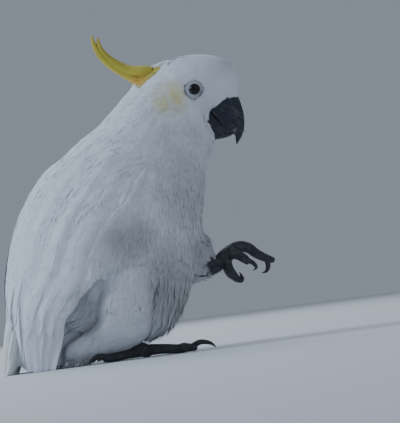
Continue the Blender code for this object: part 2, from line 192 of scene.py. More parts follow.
def mergedCopy(names, swell=0.0):
    # a copy of some of the frame's nodes, each grown by the swell
    parts = []
    for name in names:
        part = bmesh.new()
        part.from_mesh(bpy.data.objects[name].data)
        bmesh.ops.remove_doubles(part, verts=part.verts, dist=1e-5)
        part.normal_update()
        for vertex, normal in [(v, v.normal.copy()) for v in part.verts]:
            vertex.co += normal * swell
        parts.append(part)
    return joined(parts)


def remeshed(shape, voxel):
    # one closed surface round everything in the shape; only its largest piece is kept
    mesh = bpy.data.meshes.new("rough")
    shape.to_mesh(mesh)
    shape.free()
    rough = bpy.data.objects.new("rough", mesh)
    bpy.context.scene.collection.objects.link(rough)
    modifier = rough.modifiers.new("even", "REMESH")
    modifier.mode = "VOXEL"
    modifier.voxel_size = voxel
    graph = bpy.context.evaluated_depsgraph_get()
    even = bpy.data.meshes.new_from_object(rough.evaluated_get(graph))
    bpy.data.objects.remove(rough, do_unlink=True)
    bpy.data.meshes.remove(mesh)
    shape = bmesh.new()
    shape.from_mesh(even)
    bpy.data.meshes.remove(even)
    keepLargest(shape)
    return shape


def keepLargest(shape):
    left = set(shape.verts)
    groups = []
    while left:
        start = left.pop()
        group = [start]
        for vertex in group:
            for edge in vertex.link_edges:
                other = edge.other_vert(vertex)
                if other in left:
                    left.discard(other)
                    group.append(other)
        groups.append(group)
    groups.sort(key=len)
    for group in groups[:-1]:
        bmesh.ops.delete(shape, geom=group, context="VERTS")


def smoothShape(shape, times, verts=None):
    for _ in range(times):
        bmesh.ops.smooth_vert(
            shape,
            verts=verts or shape.verts,
            factor=0.5,
            use_axis_x=True,
            use_axis_y=True,
            use_axis_z=True,
        )


def closeHoles(shape):
    bmesh.ops.holes_fill(shape, edges=shape.edges, sides=0)
    bmesh.ops.triangulate(shape, faces=[f for f in shape.faces if len(f.verts) > 4])
    bmesh.ops.recalc_face_normals(shape, faces=shape.faces)


def wrapped(columns, rows, surface, closed=True):
    # a grid laid on a surface: surface takes along 0 to 1 and the turn 0 to 2 pi, and gives points
    shape = bmesh.new()
    bmesh.ops.create_grid(shape, x_segments=columns, y_segments=rows, size=1.0)
    flat = np.array([v.co for v in shape.verts])
    points = surface((flat[:, 1] + 1) / 2, (flat[:, 0] + 1) * math.pi)
    for vertex, point in zip(shape.verts, points.tolist()):
        vertex.co = point
    if closed:
        bmesh.ops.remove_doubles(shape, verts=shape.verts, dist=1e-6)
        closeHoles(shape)
    return shape


def piece(name, shape, material, replaced=()):
    mesh = bpy.data.meshes.new(name)
    shape.to_mesh(mesh)
    shape.free()
    return dressed(name, mesh, material, replaced)


def dressed(name, mesh, material, replaced=()):
    mesh.materials.append(material)
    mesh.shade_smooth()
    item = bpy.data.objects.new(name, mesh)
    bpy.context.scene.collection.objects.link(item)
    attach(item, "root")
    if replaced:
        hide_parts(*replaced)
    return item


def newMaterial(name, **values):
    material = bpy.data.materials.new(name)
    material.use_nodes = True
    tree = material.node_tree
    shader = tree.nodes["Principled BSDF"]
    for socket, value in values.items():
        shader.inputs[socket.replace("_", " ")].default_value = value
    return material, tree, shader


def objectPlace(tree):
    return addNode(tree, "ShaderNodeTexCoord").outputs["Object"]


def finishWith(tree, shader, color, height=None, strength=0.5, distance=0.0005):
    # the colour, and the relief as a bump of its height
    tree.links.new(color, shader.inputs["Base Color"])
    if height is not None:
        bump = addNode(tree, "ShaderNodeBump", {"Height": height, "Strength": strength, "Distance": distance})
        tree.links.new(bump.outputs[0], shader.inputs["Normal"])


def addNode(tree, kind, inputs=(), **settings):
    node = tree.nodes.new(kind)
    for key, value in settings.items():
        setattr(node, key, value)
    for key, value in dict(inputs).items():
        if isinstance(value, bpy.types.NodeSocket):
            tree.links.new(value, node.inputs[key])
        else:
            node.inputs[key].default_value = value
    return node


def mathNode(tree, operation, first, second=0.0, third=0.0):
    return addNode(tree, "ShaderNodeMath", {0: first, 1: second, 2: third}, operation=operation).outputs[0]


def vectorNode(tree, operation, first, second=(0, 0, 0)):
    return addNode(tree, "ShaderNodeVectorMath", {0: first, 1: second}, operation=operation).outputs


def mixColors(tree, mask, first, second):
    # the mix node's sockets for colours are its seventh and eighth, and its third output
    node = addNode(tree, "ShaderNodeMix", data_type="RGBA", clamp_factor=True)
    for index, value in ((0, mask), (6, first), (7, second)):
        if isinstance(value, bpy.types.NodeSocket):
            tree.links.new(value, node.inputs[index])
        else:
            node.inputs[index].default_value = value
    return node.outputs[2]


def rampNode(tree, value, low, high):
    node = addNode(tree, "ShaderNodeMapRange", {"Value": value, "From Min": low, "From Max": high})
    node.interpolation_type = "SMOOTHSTEP"
    return node.outputs["Result"]


def noiseNode(tree, vector, scale, detail=3.0, stretch=None):
    if stretch:
        vector = addNode(tree, "ShaderNodeMapping", {"Vector": vector, "Scale": stretch}).outputs[0]
    node = addNode(tree, "ShaderNodeTexNoise", {"Vector": vector, "Scale": scale, "Detail": detail})
    return node.outputs["Fac"]


def blobMask(tree, vector, centre, size, start):
    # 1 inside an ellipsoid round the centre, fading to 0 from the start's share of its size to its edge
    apart = vectorNode(tree, "SUBTRACT", vector, tuple(placed(*centre)))[0]
    scaled = vectorNode(tree, "DIVIDE", apart, tuple(Vector(size) * mm))[0]
    far = vectorNode(tree, "LENGTH", scaled)["Value"]
    return mathNode(tree, "SUBTRACT", 1.0, rampNode(tree, far, start, 1.0))


def fromEye(tree, place):
    # how far a place lies from the eye's centre, seen from the side
    apart = vectorNode(tree, "SUBTRACT", place, tuple(eyeCentre))[0]
    flat = vectorNode(tree, "MULTIPLY", apart, (1, 0, 1))[0]
    return vectorNode(tree, "LENGTH", flat)["Value"]


fullWidth = 300.0  # a marking this wide reaches both flanks
plumage = {
    "white": (0.80, 0.825, 0.87, 1),
    "mottle": (0.66, 0.70, 0.78, 1),
    "mottleShare": 0.22,
    # shade is the colour of the painted shade over the shaded places below
    "shade": (0.37, 0.355, 0.345, 1),
    "yellow": (0.72, 0.66, 0.30, 1),
    "dirt": (0.36, 0.31, 0.25, 1),
    "cream": (0.80, 0.80, 0.56, 1),
    "streak": (0.55, 0.59, 0.66, 1),
    # washes of colour below and above the shade:
    # centre, size, where the fade starts, strength, colour, speckle and its ramp
    "below": [
        ((103, 0, 276), (27, fullWidth, 29), 0.2, 1.0, "yellow", "patchy", (0.20, 0.55)),
        ((100, 0, 300), (30, 30, 16), 0.4, 0.12, "yellow", None, None),
    ],
    "above": [
        ((147, 0, 226), (15, 22, 22), 0.3, 0.75, "dirt", "fine", (0.42, 0.62)),
        ((-112, 0, 22), (34, 70, 62), 0.2, 0.42, "cream", None, None),
        ((-20, -20, 0), (50, 35, 24), 0.2, 0.45, "dirt", "fine", (0.35, 0.65)),
    ],
    # painted shade, darker towards the front and underside as if lit from behind: centre x and z, size x and z,
    # strength
    "shaded": [
        (80, 74, 46, 80, 0.80), (44, 126, 46, 40, 0.72), (112, 165, 52, 82, 0.50), (128, 212, 34, 46, 0.30),
        (116, 104, 34, 38, 0.66), (-14, 56, 20, 40, 0.55), (84, 220, 46, 60, 0.12),
    ],
}


def washed(tree, place, color, washes, speckles):
    for centre, size, start, strength, tint, speckle, ramp in washes:
        mask = blobMask(tree, place, centre, size, start)
        if speckle:
            mask = mathNode(tree, "MULTIPLY", mask, rampNode(tree, speckles[speckle], *ramp))
        color = mixColors(tree, mathNode(tree, "MULTIPLY", mask, strength), color, plumage[tint])
    return color


def markingsAndShadeGroup():
    # the colour of the coat by its place on the body, its markings and its painted shade, used by the skin and
    # every feather piece
    group = bpy.data.node_groups.new("plumageMarkingsAndShade", "ShaderNodeTree")
    group.interface.new_socket("Position", in_out="INPUT", socket_type="NodeSocketVector")
    group.interface.new_socket("Tone", in_out="INPUT", socket_type="NodeSocketFloat")
    group.interface.new_socket("Color", in_out="OUTPUT", socket_type="NodeSocketColor")
    inner = group.nodes.new("NodeGroupInput")
    outer = group.nodes.new("NodeGroupOutput")
    place = inner.outputs["Position"]
    speckles = {"patchy": noiseNode(group, place, 55, 4), "fine": noiseNode(group, place, 260, 3)}
    mottle = mathNode(group, "MULTIPLY", speckles["patchy"], plumage["mottleShare"])
    color = mixColors(group, mottle, plumage["white"], plumage["mottle"])
    color = washed(group, place, color, plumage["below"], speckles)
    # painted shade: the coat darkens towards the shade colour over the shaded places
    dark = 0.0
    for x, z, sizeX, sizeZ, strength in plumage["shaded"]:
        blob = blobMask(group, place, (x, 0, z), (sizeX, fullWidth, sizeZ), 0.2)
        dark = mathNode(group, "MAXIMUM", mathNode(group, "MULTIPLY", blob, strength), dark)
    color = mixColors(group, dark, color, plumage["shade"])
    color = washed(group, place, color, plumage["above"], speckles)
    tone = mathNode(group, "MULTIPLY_ADD", inner.outputs["Tone"], 0.16, 0.92)
    toned = addNode(group, "ShaderNodeHueSaturation", {"Color": color, "Value": tone}).outputs[0]
    group.links.new(toned, outer.inputs["Color"])
    return group


markingsAndShade = markingsAndShadeGroup()


def markedAndShadedColor(tree, place, tone):
    group = addNode(tree, "ShaderNodeGroup", node_tree=markingsAndShade)
    tree.links.new(place, group.inputs["Position"])
    if isinstance(tone, bpy.types.NodeSocket):
        tree.links.new(tone, group.inputs["Tone"])
    else:
        group.inputs["Tone"].default_value = tone
    return group.outputs["Color"]


def vaneStreaks(tree, stretch):
    # streaks along the barbs of a vane, whose own map runs from its root to its tip
    vaneMap = addNode(tree, "ShaderNodeUVMap", uv_map="vane").outputs[0]
    return noiseNode(tree, vaneMap, 3.0, 3, stretch=stretch)


def plumageMaterial(name, barbs, roughness):
    material, tree, shader = newMaterial(
        name, Roughness=roughness, Sheen_Weight=0.25, Sheen_Roughness=0.45, Specular_IOR_Level=0.25
    )
    tone = addNode(tree, "ShaderNodeAttribute", attribute_name="tone").outputs["Fac"]
    color = markedAndShadedColor(tree, objectPlace(tree), tone)
    streak = vaneStreaks(tree, (9.0, 1.6, 1.0))
    split = mathNode(tree, "MULTIPLY", rampNode(tree, streak, 0.35, 0.7), barbs)
    finishWith(tree, shader, mixColors(tree, split, color, plumage["streak"]), streak, 0.35, 0.0006)
    return material


def downMaterial():
    material, tree, shader = newMaterial(
        "downySkin", Roughness=0.85, Sheen_Weight=0.2, Specular_IOR_Level=0.2
    )
    place = objectPlace(tree)
    finishWith(tree, shader, markedAndShadedColor(tree, place, 0.35), noiseNode(tree, place, 500, 3), 0.4, 0.001)
    return material


coatMaterial = plumageMaterial("softPlumage", 0.18, 0.72)
flightMaterial = plumageMaterial("flightVane", 0.30, 0.6)
skinMaterial = downMaterial()
print("materials of the plumage are made")


skinValues = {
    "voxel": 2.2,
    "swell": 0.4,  # closes the cuts between the nodes
    "smoothing": 3,
    "bendSmoothing": 30,  # over the shoulders, where wings and body meet
    "bendPlace": (0.105, 0.262, 0.09),  # its lowest and highest z and its furthest x, in metres
    "faceDepth": 0.6,  # the skin's depth inside the nodes, at the bill and over the rest
    "fullDepth": 3.0,
    "thinBelow": 45,  # from here down to the floor the skin comes nearer to the nodes
    "thinShare": 0.45,
    "lowest": 0.8,
    "socket": 10.5,  # the skin sinks this far round the eye's centre, by the next value
    "socketDepth": 1.3,
    "deepInBill": 0.25,
    "crestEnd": 0.030,
    "gape": (143, 234, 262),  # from this x, between these z, no skin lies between the parts of the bill
    "gapeReach": 3,
}
sideReach = 0.35  # a lobe reaches further across the body than along it
# rounded lobes and creases of the plumage: place, radius and height in millimetres
lobes = [
    (16, -64, 62, 15, 6.0), (-38, -34, 16, 10, 5.0), (28, -52, 27, 9, 2.8), (52, -58, 92, 14, 2.4),
    (1, -60, 72, 6, -3.0), (-12, -44, 26, 7, -4.0), (41, -60, 62, 7, -3.6), (39, -54, 36, 6, -3.0),
    (66, -52, 66, 12, 2.0), (40, -66, 120, 22, 1.6), (70, -56, 160, 26, 1.8), (40, -64, 172, 16, -1.4),
    (96, -44, 130, 16, 1.6),
]


def treeOf(names):
    shape = mergedCopy(names)
    tree = BVHTree.FromBMesh(shape)
    shape.free()
    return tree


billTree = treeOf(billNodes)
crestTree = treeOf(crestNodes)


def insideDepth(tree, point):
    # how deep the point lies inside the closed body of the tree, negative outside
    place, normal, _, distance = tree.find_nearest(point)
    return distance if (point - place).dot(normal) < 0 else -distance


def moved(shape, moveOf):
    # every point moves by what moveOf gives for it, and none goes through the floor
    shape.normal_update()
    moves = [moveOf(vertex) for vertex in shape.verts]
    for vertex, move in zip(shape.verts, moves):
        vertex.co += move
        vertex.co.z = max(vertex.co.z, skinValues["lowest"] * mm)


def inwards(vertex):
    # less deep near the bill and near the floor
    toBill = billTree.find_nearest(vertex.co)[3] / mm
    face = skinValues["faceDepth"]
    depth = face + min(toBill * 0.03, 1.0) * (skinValues["fullDepth"] - face)
    height = max(vertex.co.z, 0) / (skinValues["thinBelow"] * mm)
    if height < 1:
        depth *= skinValues["thinShare"] + (1 - skinValues["thinShare"]) * height
    return -vertex.normal * (depth + skinValues["swell"]) * mm


def lobed(vertex):
    # out to the lobes and in at the creases and the eyes' sockets
    aside = math.hypot(vertex.co.x - eyeCentre.x, vertex.co.z - eyeCentre.z)
    if aside < skinValues["socket"] * mm and abs(vertex.co.y) > 0.02:
        return Vector((0, -math.copysign(skinValues["socketDepth"] * mm, vertex.co.y), 0))
    height = 0.0
    for x, y, z, radius, bump in lobes:
        apart = vertex.co - placed(x, y, z)
        apart.y *= sideReach
        height += bump * mm * math.exp(-((apart.length / (radius * mm)) ** 2))
    return vertex.normal * height


def isHidden(vertex):
    inBill = insideDepth(billTree, vertex.co)
    gapeX, gapeLow, gapeHigh = skinValues["gape"]
    inGape = vertex.co.x > (gapeX + shiftX) * mm and gapeLow * mm < vertex.co.z < gapeHigh * mm
    if inBill > skinValues["deepInBill"] * mm or inGape and abs(inBill) < skinValues["gapeReach"] * mm:
        return True
    return vertex.co.x < skinValues["crestEnd"] and insideDepth(crestTree, vertex.co) > 0


def makeSkin():
    # the skin, and the points of its rim round the bill
    nodes = fleshNodes + billNodes + crestNodes
    shape = remeshed(mergedCopy(nodes, skinValues["swell"] * mm), skinValues["voxel"] * mm)
    smoothShape(shape, skinValues["smoothing"])
    low, high, front = skinValues["bendPlace"]
    shoulders = [v for v in shape.verts if low < v.co.z < high and v.co.x < front]
    smoothShape(shape, skinValues["bendSmoothing"], verts=shoulders)
    moved(shape, inwards)
    smoothShape(shape, 2)
    moved(shape, lobed)
    bmesh.ops.delete(shape, geom=[v for v in shape.verts if isHidden(v)], context="VERTS")
    keepLargest(shape)
    rim = [v.co.copy() for v in shape.verts if v.is_boundary and v.co.x > 0.07]
    closeHoles(shape)
    return piece("bodySkin", shape, skinMaterial, fleshNodes), np.array(rim)


skin, billRim = makeSkin()
print("skin:", len(skin.data.polygons), "faces")


def unwrapSkin(item):
    item.data.uv_layers.new(name="OFBake")
    bpy.ops.object.select_all(action="DESELECT")
    bpy.context.view_layer.objects.active = item
    item.select_set(True)
    bpy.ops.object.mode_set(mode="EDIT")
    bpy.ops.mesh.select_all(action="SELECT")
    bpy.ops.uv.smart_project(angle_limit=math.radians(66), island_margin=0.004)
    bpy.ops.object.mode_set(mode="OBJECT")
    item.select_set(False)


unwrapSkin(skin)


def readValues(items, key, width, kind=np.float32):
    flat = np.empty(len(items) * width, kind)
    items.foreach_get(key, flat)
    return flat.reshape(-1, width)


skin.data.calc_loop_triangles()
cornerVerts = readValues(skin.data.loop_triangles, "vertices", 3, np.int32)
cornerLoops = readValues(skin.data.loop_triangles, "loops", 3, np.int32)
skinPoints = readValues(skin.data.vertices, "co", 3).astype(float)
skinNormals = readValues(skin.data.vertex_normals, "vector", 3).astype(float)
skinMap = readValues(skin.data.uv_layers["OFBake"].data, "uv", 2).astype(float)
skinTree = BVHTree.FromPolygons(skinPoints.tolist(), cornerVerts.tolist())
print("skin is unwrapped")


def onSkin(points):
    # nearest places on the skin: place, smooth normal, map position and signed height above it
    flat = points.reshape(-1, 3)
    places = np.empty_like(flat)
    index = np.empty(len(flat), np.int64)
    for number, point in enumerate(flat.tolist()):
        place, _, face, _ = skinTree.find_nearest(point)
        places[number] = place
        index[number] = face
    corners = skinPoints[cornerVerts[index]]
    weight = 1 / (lengths(corners - places[:, None]) + 1e-5)
    weight /= weight.sum(axis=1, keepdims=True)
    normal = unit((skinNormals[cornerVerts[index]] * weight[..., None]).sum(axis=1))
    where = (skinMap[cornerLoops[index]] * weight[..., None]).sum(axis=1)
    height = ((flat - places) * normal).sum(axis=1)
    size = points.shape
    return places.reshape(size), normal.reshape(size), where.reshape(*size[:-1], 2), height.reshape(size[:-1])


billValues = {
    "horn": (0.020, 0.026, 0.040, 1),
    "powder": (0.080, 0.080, 0.088, 1),
    "flake": (0.38, 0.35, 0.32, 1),
    "dull": (0.100, 0.085, 0.078, 1),
    # the gape's near black is painted shade in the gap between the bill's two parts
    "gape": (0.004, 0.005, 0.008, 1),
    "lean": -38,  # the layers of the horn, in degrees
    "gapePlace": (145.2, 0, 257.2),
    "gapeUp": (812, 0, 583),  # per metre, so that the distance from the gape comes out in millimetres
    "growth": 0.10,
    "upperRelief": 0.22,
    "lowerRelief": 0.20,
    "chips": 0.9,
}
upperBillForm = [
    (169.5, 280.0, 136.5, 267.0, 11.4),
    (177.4, 272.2, 141.3, 261.0, 12.8),
    (180.6, 260.0, 148.6, 251.4, 12.6),
    (181.6, 248.0, 155.6, 243.4, 10.2),
    (180.5, 238.0, 163.8, 236.2, 7.2),
    (177.2, 229.0, 169.0, 229.3, 4.0),
    (173.0, 223.0, 169.3, 223.6, 2.0),
    (170.0, 219.2, 169.2, 219.6, 0.5),
]
lowerBillForm = [
    (141.5, 265.5, 131.5, 258.5, 11.4),
    (146.0, 258.5, 131.0, 243.0, 14.2),
    (153.0, 250.5, 141.5, 229.0, 13.2),
    (161.5, 245.0, 154.0, 227.6, 9.6),
    (168.0, 239.5, 162.5, 229.0, 5.8),
    (170.8, 236.0, 167.4, 230.9, 2.2),
]


def billSurface(form, edgeAt, relief):
    # the flanks stay full towards the cutting edge, at the lower line (-1) or the upper one (1)
    def surface(along, turn):
        at = along * (len(form) - 1)
        value = throughRows(form, at)
        cosine = np.cos(turn)
        sine = np.sin(turn)
        toEdge = (1 + edgeAt * cosine) / 2
        bulge = np.sign(sine) * np.abs(sine) ** (1.0 + 0.4 * (1 - toEdge) ** 2 - 0.6 * toEdge**2)
        width = value[:, 4] * bulge * (0.94 + 0.06 * toEdge)
        middleX = (value[:, 0] + value[:, 2]) / 2
        middleZ = (value[:, 1] + value[:, 3]) / 2
        x = middleX + (value[:, 0] - value[:, 2]) / 2 * cosine + shiftX
        z = middleZ + (value[:, 1] - value[:, 3]) / 2 * cosine
        points = np.stack([x, width, z], axis=-1)
        outward = unit(points - np.stack([middleX + shiftX, 0 * x, middleZ], axis=-1))
        growth = billValues["growth"] * np.sin(at * 19 + 1.3 * np.sin(turn * 2)) * np.clip(along * 4, 0, 1)
        rough = np.array([noise.noise(Vector(p) * 0.35) for p in points.tolist()])
        chips = np.array([noise.noise(Vector(p) * 1.1 + Vector((5, 5, 5))) for p in points.tolist()])
        swell = (growth + relief * rough) * np.clip(value[:, 4] / 6, 0.15, 1)
        chipped = toEdge**6 * np.clip(at - 3, 0, 1) * np.clip(value[:, 4] / 3, 0.3, 1)
        swell += billValues["chips"] * chips * chipped
        return (points + outward * swell[:, None]) * mm

    return surface


def hornMaterial():
    material, tree, shader = newMaterial("billHorn", Roughness=0.6, Specular_IOR_Level=0.4)
    place = objectPlace(tree)
    lean = (0, math.radians(billValues["lean"]), 0)
    turned = addNode(tree, "ShaderNodeMapping", {"Vector": place, "Rotation": lean}).outputs[0]
    layers = noiseNode(tree, turned, 60, 4, stretch=(1.0, 1.0, 9.0))
    patches = noiseNode(tree, place, 150, 4)
    scratches = noiseNode(tree, turned, 240, 3, stretch=(0.5, 1.0, 7.0))
    layered = rampNode(tree, layers, 0.42, 0.68)
    powder = mathNode(tree, "MULTIPLY", layered, rampNode(tree, patches, 0.36, 0.62))
    powdery = mathNode(tree, "MULTIPLY", powder, 0.85)
    color = mixColors(tree, powdery, billValues["horn"], billValues["powder"])
    streaks = mathNode(tree, "MULTIPLY", rampNode(tree, scratches, 0.60, 0.72), 0.28)
    color = mixColors(tree, streaks, color, billValues["flake"])
    # the dark line between the two parts of the bill, painted shade in the gap between them, and the dull band
    # above it
    apart = vectorNode(tree, "SUBTRACT", place, tuple(placed(*billValues["gapePlace"])))[0]
    fromGape = vectorNode(tree, "DOT_PRODUCT", apart, billValues["gapeUp"])["Value"]
    near = blobMask(tree, place, (151, 0, 249), (13.5, 500, 13.5), 0.5)
    dull = mathNode(tree, "MULTIPLY", rampNode(tree, fromGape, 1.0, 1.8), rampNode(tree, fromGape, 4.2, 2.6))
    dull = mathNode(tree, "MULTIPLY", mathNode(tree, "MULTIPLY", dull, near), 0.7)
    color = mixColors(tree, dull, color, billValues["dull"])
    gape = rampNode(tree, mathNode(tree, "ABSOLUTE", fromGape), 1.5, 0.6)
    color = mixColors(tree, mathNode(tree, "MULTIPLY", gape, near), color, billValues["gape"])
    # a worn patch near the tip's splinter
    worn = blobMask(tree, place, (169.5, 0, 234.5), (4.2, 12, 3.2), 0.3)
    worn = mathNode(tree, "MULTIPLY", worn, rampNode(tree, patches, 0.38, 0.55))
    color = mixColors(tree, mathNode(tree, "MULTIPLY", worn, 0.8), color, billValues["flake"])
    finishWith(tree, shader, color, mathNode(tree, "MULTIPLY_ADD", scratches, 0.5, layers), 0.55, 0.0007)
    return material


def splinterSurface(along, turn):
    # a broken sliver of horn at the hook's front
    reach = 1 - along
    x = 178.0 + shiftX + along * 2.9 + 0.5 * reach * np.cos(turn)
    z = 233.6 - along * 1.2 + 0.9 * reach * np.cos(turn)
    return np.stack([x, 0.6 + 0.4 * reach * np.sin(turn), z], axis=-1) * mm


def makeBill():
    horn = hornMaterial()
    upper = wrapped(72, 96, billSurface(upperBillForm, -1, billValues["upperRelief"]))
    lower = wrapped(64, 72, billSurface(lowerBillForm, 1, billValues["lowerRelief"]))
    piece("billUpper", joined([upper, wrapped(6, 6, splinterSurface)]), horn, ["bill_upper"])
    piece("billLower", lower, horn, ["bill_lower"])


makeBill()
print("bill is made")


eyeValues = {
    "ball": 8.0,
    "lid": 5.9,
    "ring": 11.6,
    "under": 1.4,  # the ring reaches this much further, under the feathers
    "ringShare": 0.78,  # the ring's share of the strip from its outer edge to the lid's inner one
    "wrinkle": 0.24,
    "pleat": 0.16,
    "bare": (0.52, 0.55, 0.60, 1),
    # dim is the darker colour of the ring's pebbles and of its painted shade
    "dim": (0.16, 0.16, 0.18, 1),
    "pupil": (0.002, 0.002, 0.002, 1),
    "iris": ((0.006, 0.004, 0.003, 1), (0.014, 0.009, 0.006, 1)),
}


def eyeMaterials():
    glossy, tree, shader = newMaterial(
        "eyeball", Roughness=0.12, Coat_Weight=0.35, Coat_Roughness=0.02, Specular_IOR_Level=0.2
    )
    place = objectPlace(tree)
    iris = mixColors(tree, noiseNode(tree, place, 900, 3), *eyeValues["iris"])
    edge = rampNode(tree, fromEye(tree, place), 0.0030, 0.0034)
    finishWith(tree, shader, mixColors(tree, edge, eyeValues["pupil"], iris))
    skinny, tree, shader = newMaterial(
        "bareSkin", Roughness=0.6, Subsurface_Weight=0.08, Subsurface_Scale=0.002
    )
    place = objectPlace(tree)
    far = fromEye(tree, place)
    # darker on the lid; painted shade at the ring's outer edge, where the feathers meet it, and more at its
    # lower front
    lower = blobMask(tree, place, (139.0, 0, 275.5), (8.5, 500, 8.5), 0.25)
    edge = mathNode(tree, "MULTIPLY", rampNode(tree, far, 0.0088, 0.0118), 0.25)
    lid = mathNode(tree, "SUBTRACT", 1.0, rampNode(tree, far, 0.0060, 0.0069))
    dim = mathNode(tree, "MAXIMUM", lower, mathNode(tree, "MAXIMUM", edge, lid))
    pebbles = noiseNode(tree, place, 900, 3)
    color = mixColors(tree, mathNode(tree, "MULTIPLY", pebbles, 0.35), eyeValues["bare"], eyeValues["dim"])
    color = mixColors(tree, mathNode(tree, "MULTIPLY", dim, 0.75), color, eyeValues["dim"])
    finishWith(tree, shader, color, pebbles, 0.5, 0.0004)
    return glossy, skinny


def lidSurface(side):
    # from under the feathers, over concentric wrinkles, to the rim of the lid and in along the eyeball
    outer = eyeValues["ring"] + eyeValues["under"]
    lid = eyeValues["lid"]
    ringShare = eyeValues["ringShare"]
    x, y, z = (value / mm for value in eyeCentre)

    def groundAt(angle):
        start = Vector((eyeCentre.x, 60 * side * mm, eyeCentre.z))
        start += Vector((math.cos(angle), 0, math.sin(angle))) * outer * mm
        return skinTree.ray_cast(start, Vector((0, -side, 0)))[0].y * side / mm

    def surface(along, turn):
        radius = np.interp(along, [0, ringShare, 0.9, 1], [outer, lid + 0.75, lid, lid + 0.25])
        ground = np.array([groundAt(angle) for angle in turn.tolist()])
        ball = y + np.sqrt(np.maximum(eyeValues["ball"] ** 2 - radius**2, 0))
        rim = y + math.sqrt(eyeValues["ball"] ** 2 - lid**2)
        rise = np.interp(along, [0, 0.25, ringShare, 0.88, 0.95, 1], [-1.8, -0.2, 0.1, 0.6, 0.5, -0.8])
        near = np.clip(along / ringShare, 0, 1)
        base = ground * (1 - near) + rim * near + 0.4 * np.sin(math.pi * near)
        wrinkles = np.sin(along * 34 + 0.8 * np.sin(turn * 3)) * np.clip(along * 5, 0, 1)
        fold = eyeValues["wrinkle"] * wrinkles * (along < ringShare)
        fold += eyeValues["pleat"] * np.sin(turn * 23 + along * 8) * (along < 0.8)
        out = np.where(along > 0.97, ball - 0.5, base + rise + fold)
        down = radius * np.sin(turn) * (1 - 0.03 * along)
        return np.stack([x + radius * np.cos(turn), out * side, z + down], axis=-1) * mm

    return surface


def makeEyes():
    glossy, skinny = eyeMaterials()
    for sideName, side in (("right", -1), ("left", 1)):
        ball = bmesh.new()
        bmesh.ops.create_uvsphere(ball, u_segments=48, v_segments=32, radius=eyeValues["ball"] * mm)
        centre = Vector((eyeCentre.x, eyeCentre.y * side, eyeCentre.z))
        for vertex in ball.verts:
            vertex.co = Vector((vertex.co.x, vertex.co.z * side, vertex.co.y)) + centre
        ball.normal_update()
        bmesh.ops.recalc_face_normals(ball, faces=ball.faces)
        piece("eyeball_" + sideName, ball, glossy, ["eye_" + sideName])
        ring = wrapped(72, 30, lidSurface(side), closed=False)
        bmesh.ops.remove_doubles(ring, verts=ring.verts, dist=1e-6)
        ring.normal_update()
        if sum(face.normal.y * side for face in ring.faces) < 0:
            bmesh.ops.reverse_faces(ring, faces=ring.faces)
        piece("eyeRing_" + sideName, ring, skinny)


makeEyes()
print("eyes are made")


footValues = {
    "scale": (0.040, 0.044, 0.054, 1),
    "worn": (0.115, 0.115, 0.125, 1),
    "claw": ((0.010, 0.010, 0.012, 1), (0.050, 0.048, 0.050, 1)),
    "scute": 0.42,
    "scuteLength": 2.5,
    "voxel": 0.55,
}
# each line is x, y, z and radius in the body's millimetres
standingTarsus = [
    (8, -14, 31, 6.4), (18, -13, 23, 6.6), (29, -11.5, 14.6, 7.0), (40, -10, 7.9, 7.8),
    (45, -10, 6.9, 6.4),
]
standingToes = [
    [(37, -7, 6.4, 5.2), (26, -2, 5.6, 4.8), (17, 3, 4.9, 4.4), (13, 5, 4.6, 3.6)],
    [(44, -5, 7, 5.6), (58, 1, 6.2, 5.0), (69, 6, 4.9, 4.8), (76, 9, 4.6, 4.0)],
    [(46, -12, 8, 6.0), (64, -17, 6.6, 5.3), (78, -22, 4.9, 5.0), (87, -25, 5.2, 4.6), (95, -28, 4.5, 3.9)],
    [(36, -13, 7, 5.8), (20, -18, 6.0, 5.0), (7, -24, 4.8, 4.8), (-3, -28, 4.5, 3.9)],
]
standingClaws = [
    [(18, 3, 6.0, 2.6), (12, 6, 6.8, 2.4), (7, 8.5, 4.6, 1.5), (4.5, 10, 1.2, 0.3)],
    [(75, 9, 5.6, 3.0), (83, 12, 7.5, 2.7), (90, 14.5, 5.2, 1.7), (93.5, 16, 1.3, 0.3)],
    [(93, -27.5, 6.2, 3.2), (102, -30, 9.3, 2.9), (112.5, -33, 6.8, 1.9), (118, -34.5, 1.4, 0.3)],
    [(-1, -27, 6.0, 3.0), (-9, -30, 7.8, 2.7), (-17, -32.5, 5.0, 1.7), (-21, -34, 1.3, 0.3)],
]
raisedTarsus = [
    (104, 28, 91, 6.6), (113, 28, 88.5, 7.6), (122.5, 28, 88, 8.4), (132, 27.5, 91.5, 8.0),
    (141, 27, 98.5, 8.8), (149, 27, 104, 7.6),
]
raisedToes = [
    [(142, 22, 93, 5.4), (143.2, 19, 85, 5.2), (146.8, 17, 77.2, 4.9), (151.0, 16, 71.8, 4.0)],
    [(150, 21, 101, 6.0), (156.5, 18, 97.4, 5.2), (161.5, 16, 93.5, 5.0), (165.0, 15, 89.8, 4.0)],
    [
        (146, 30, 104, 7.0), (157, 32, 107.6, 6.6), (167.5, 35, 105.2, 5.9), (176, 37, 97.6, 5.3),
        (185, 38.5, 91.8, 4.7), (193.2, 39.5, 88.2, 3.4),
    ],
    [(142, 32, 94, 5.6), (141.6, 37, 86, 5.2), (145, 41, 78.5, 4.9), (150.4, 43, 73.7, 4.0)],
]
raisedKnobs = [[(131, 22, 93, 4.4), (122.5, 14, 91.5, 3.4)], [(132, 22, 87, 4.4), (124.5, 13.5, 83.4, 3.6)]]
raisedClaws = [
    [(150.5, 16, 71, 2.8), (155.2, 15.6, 69.6, 2.3), (157.2, 15.2, 72.4, 1.4), (156, 15, 76.2, 0.3)],
    [(165, 15, 91.2, 2.8), (170.6, 14.4, 87.2, 2.5), (173.3, 14, 82.2, 1.8), (169.6, 13.6, 79.2, 0.3)],
    [(186.6, 38.6, 89.4, 3.1), (187.4, 39, 82.6, 2.8), (184.8, 39.4, 77.0, 1.9), (179.3, 39.6, 75.4, 0.3)],
    [(149.8, 43, 73, 2.8), (154.8, 43.6, 72.4, 2.3), (156.2, 44, 76.0, 1.4), (154, 44.2, 79.6, 0.3)],
]


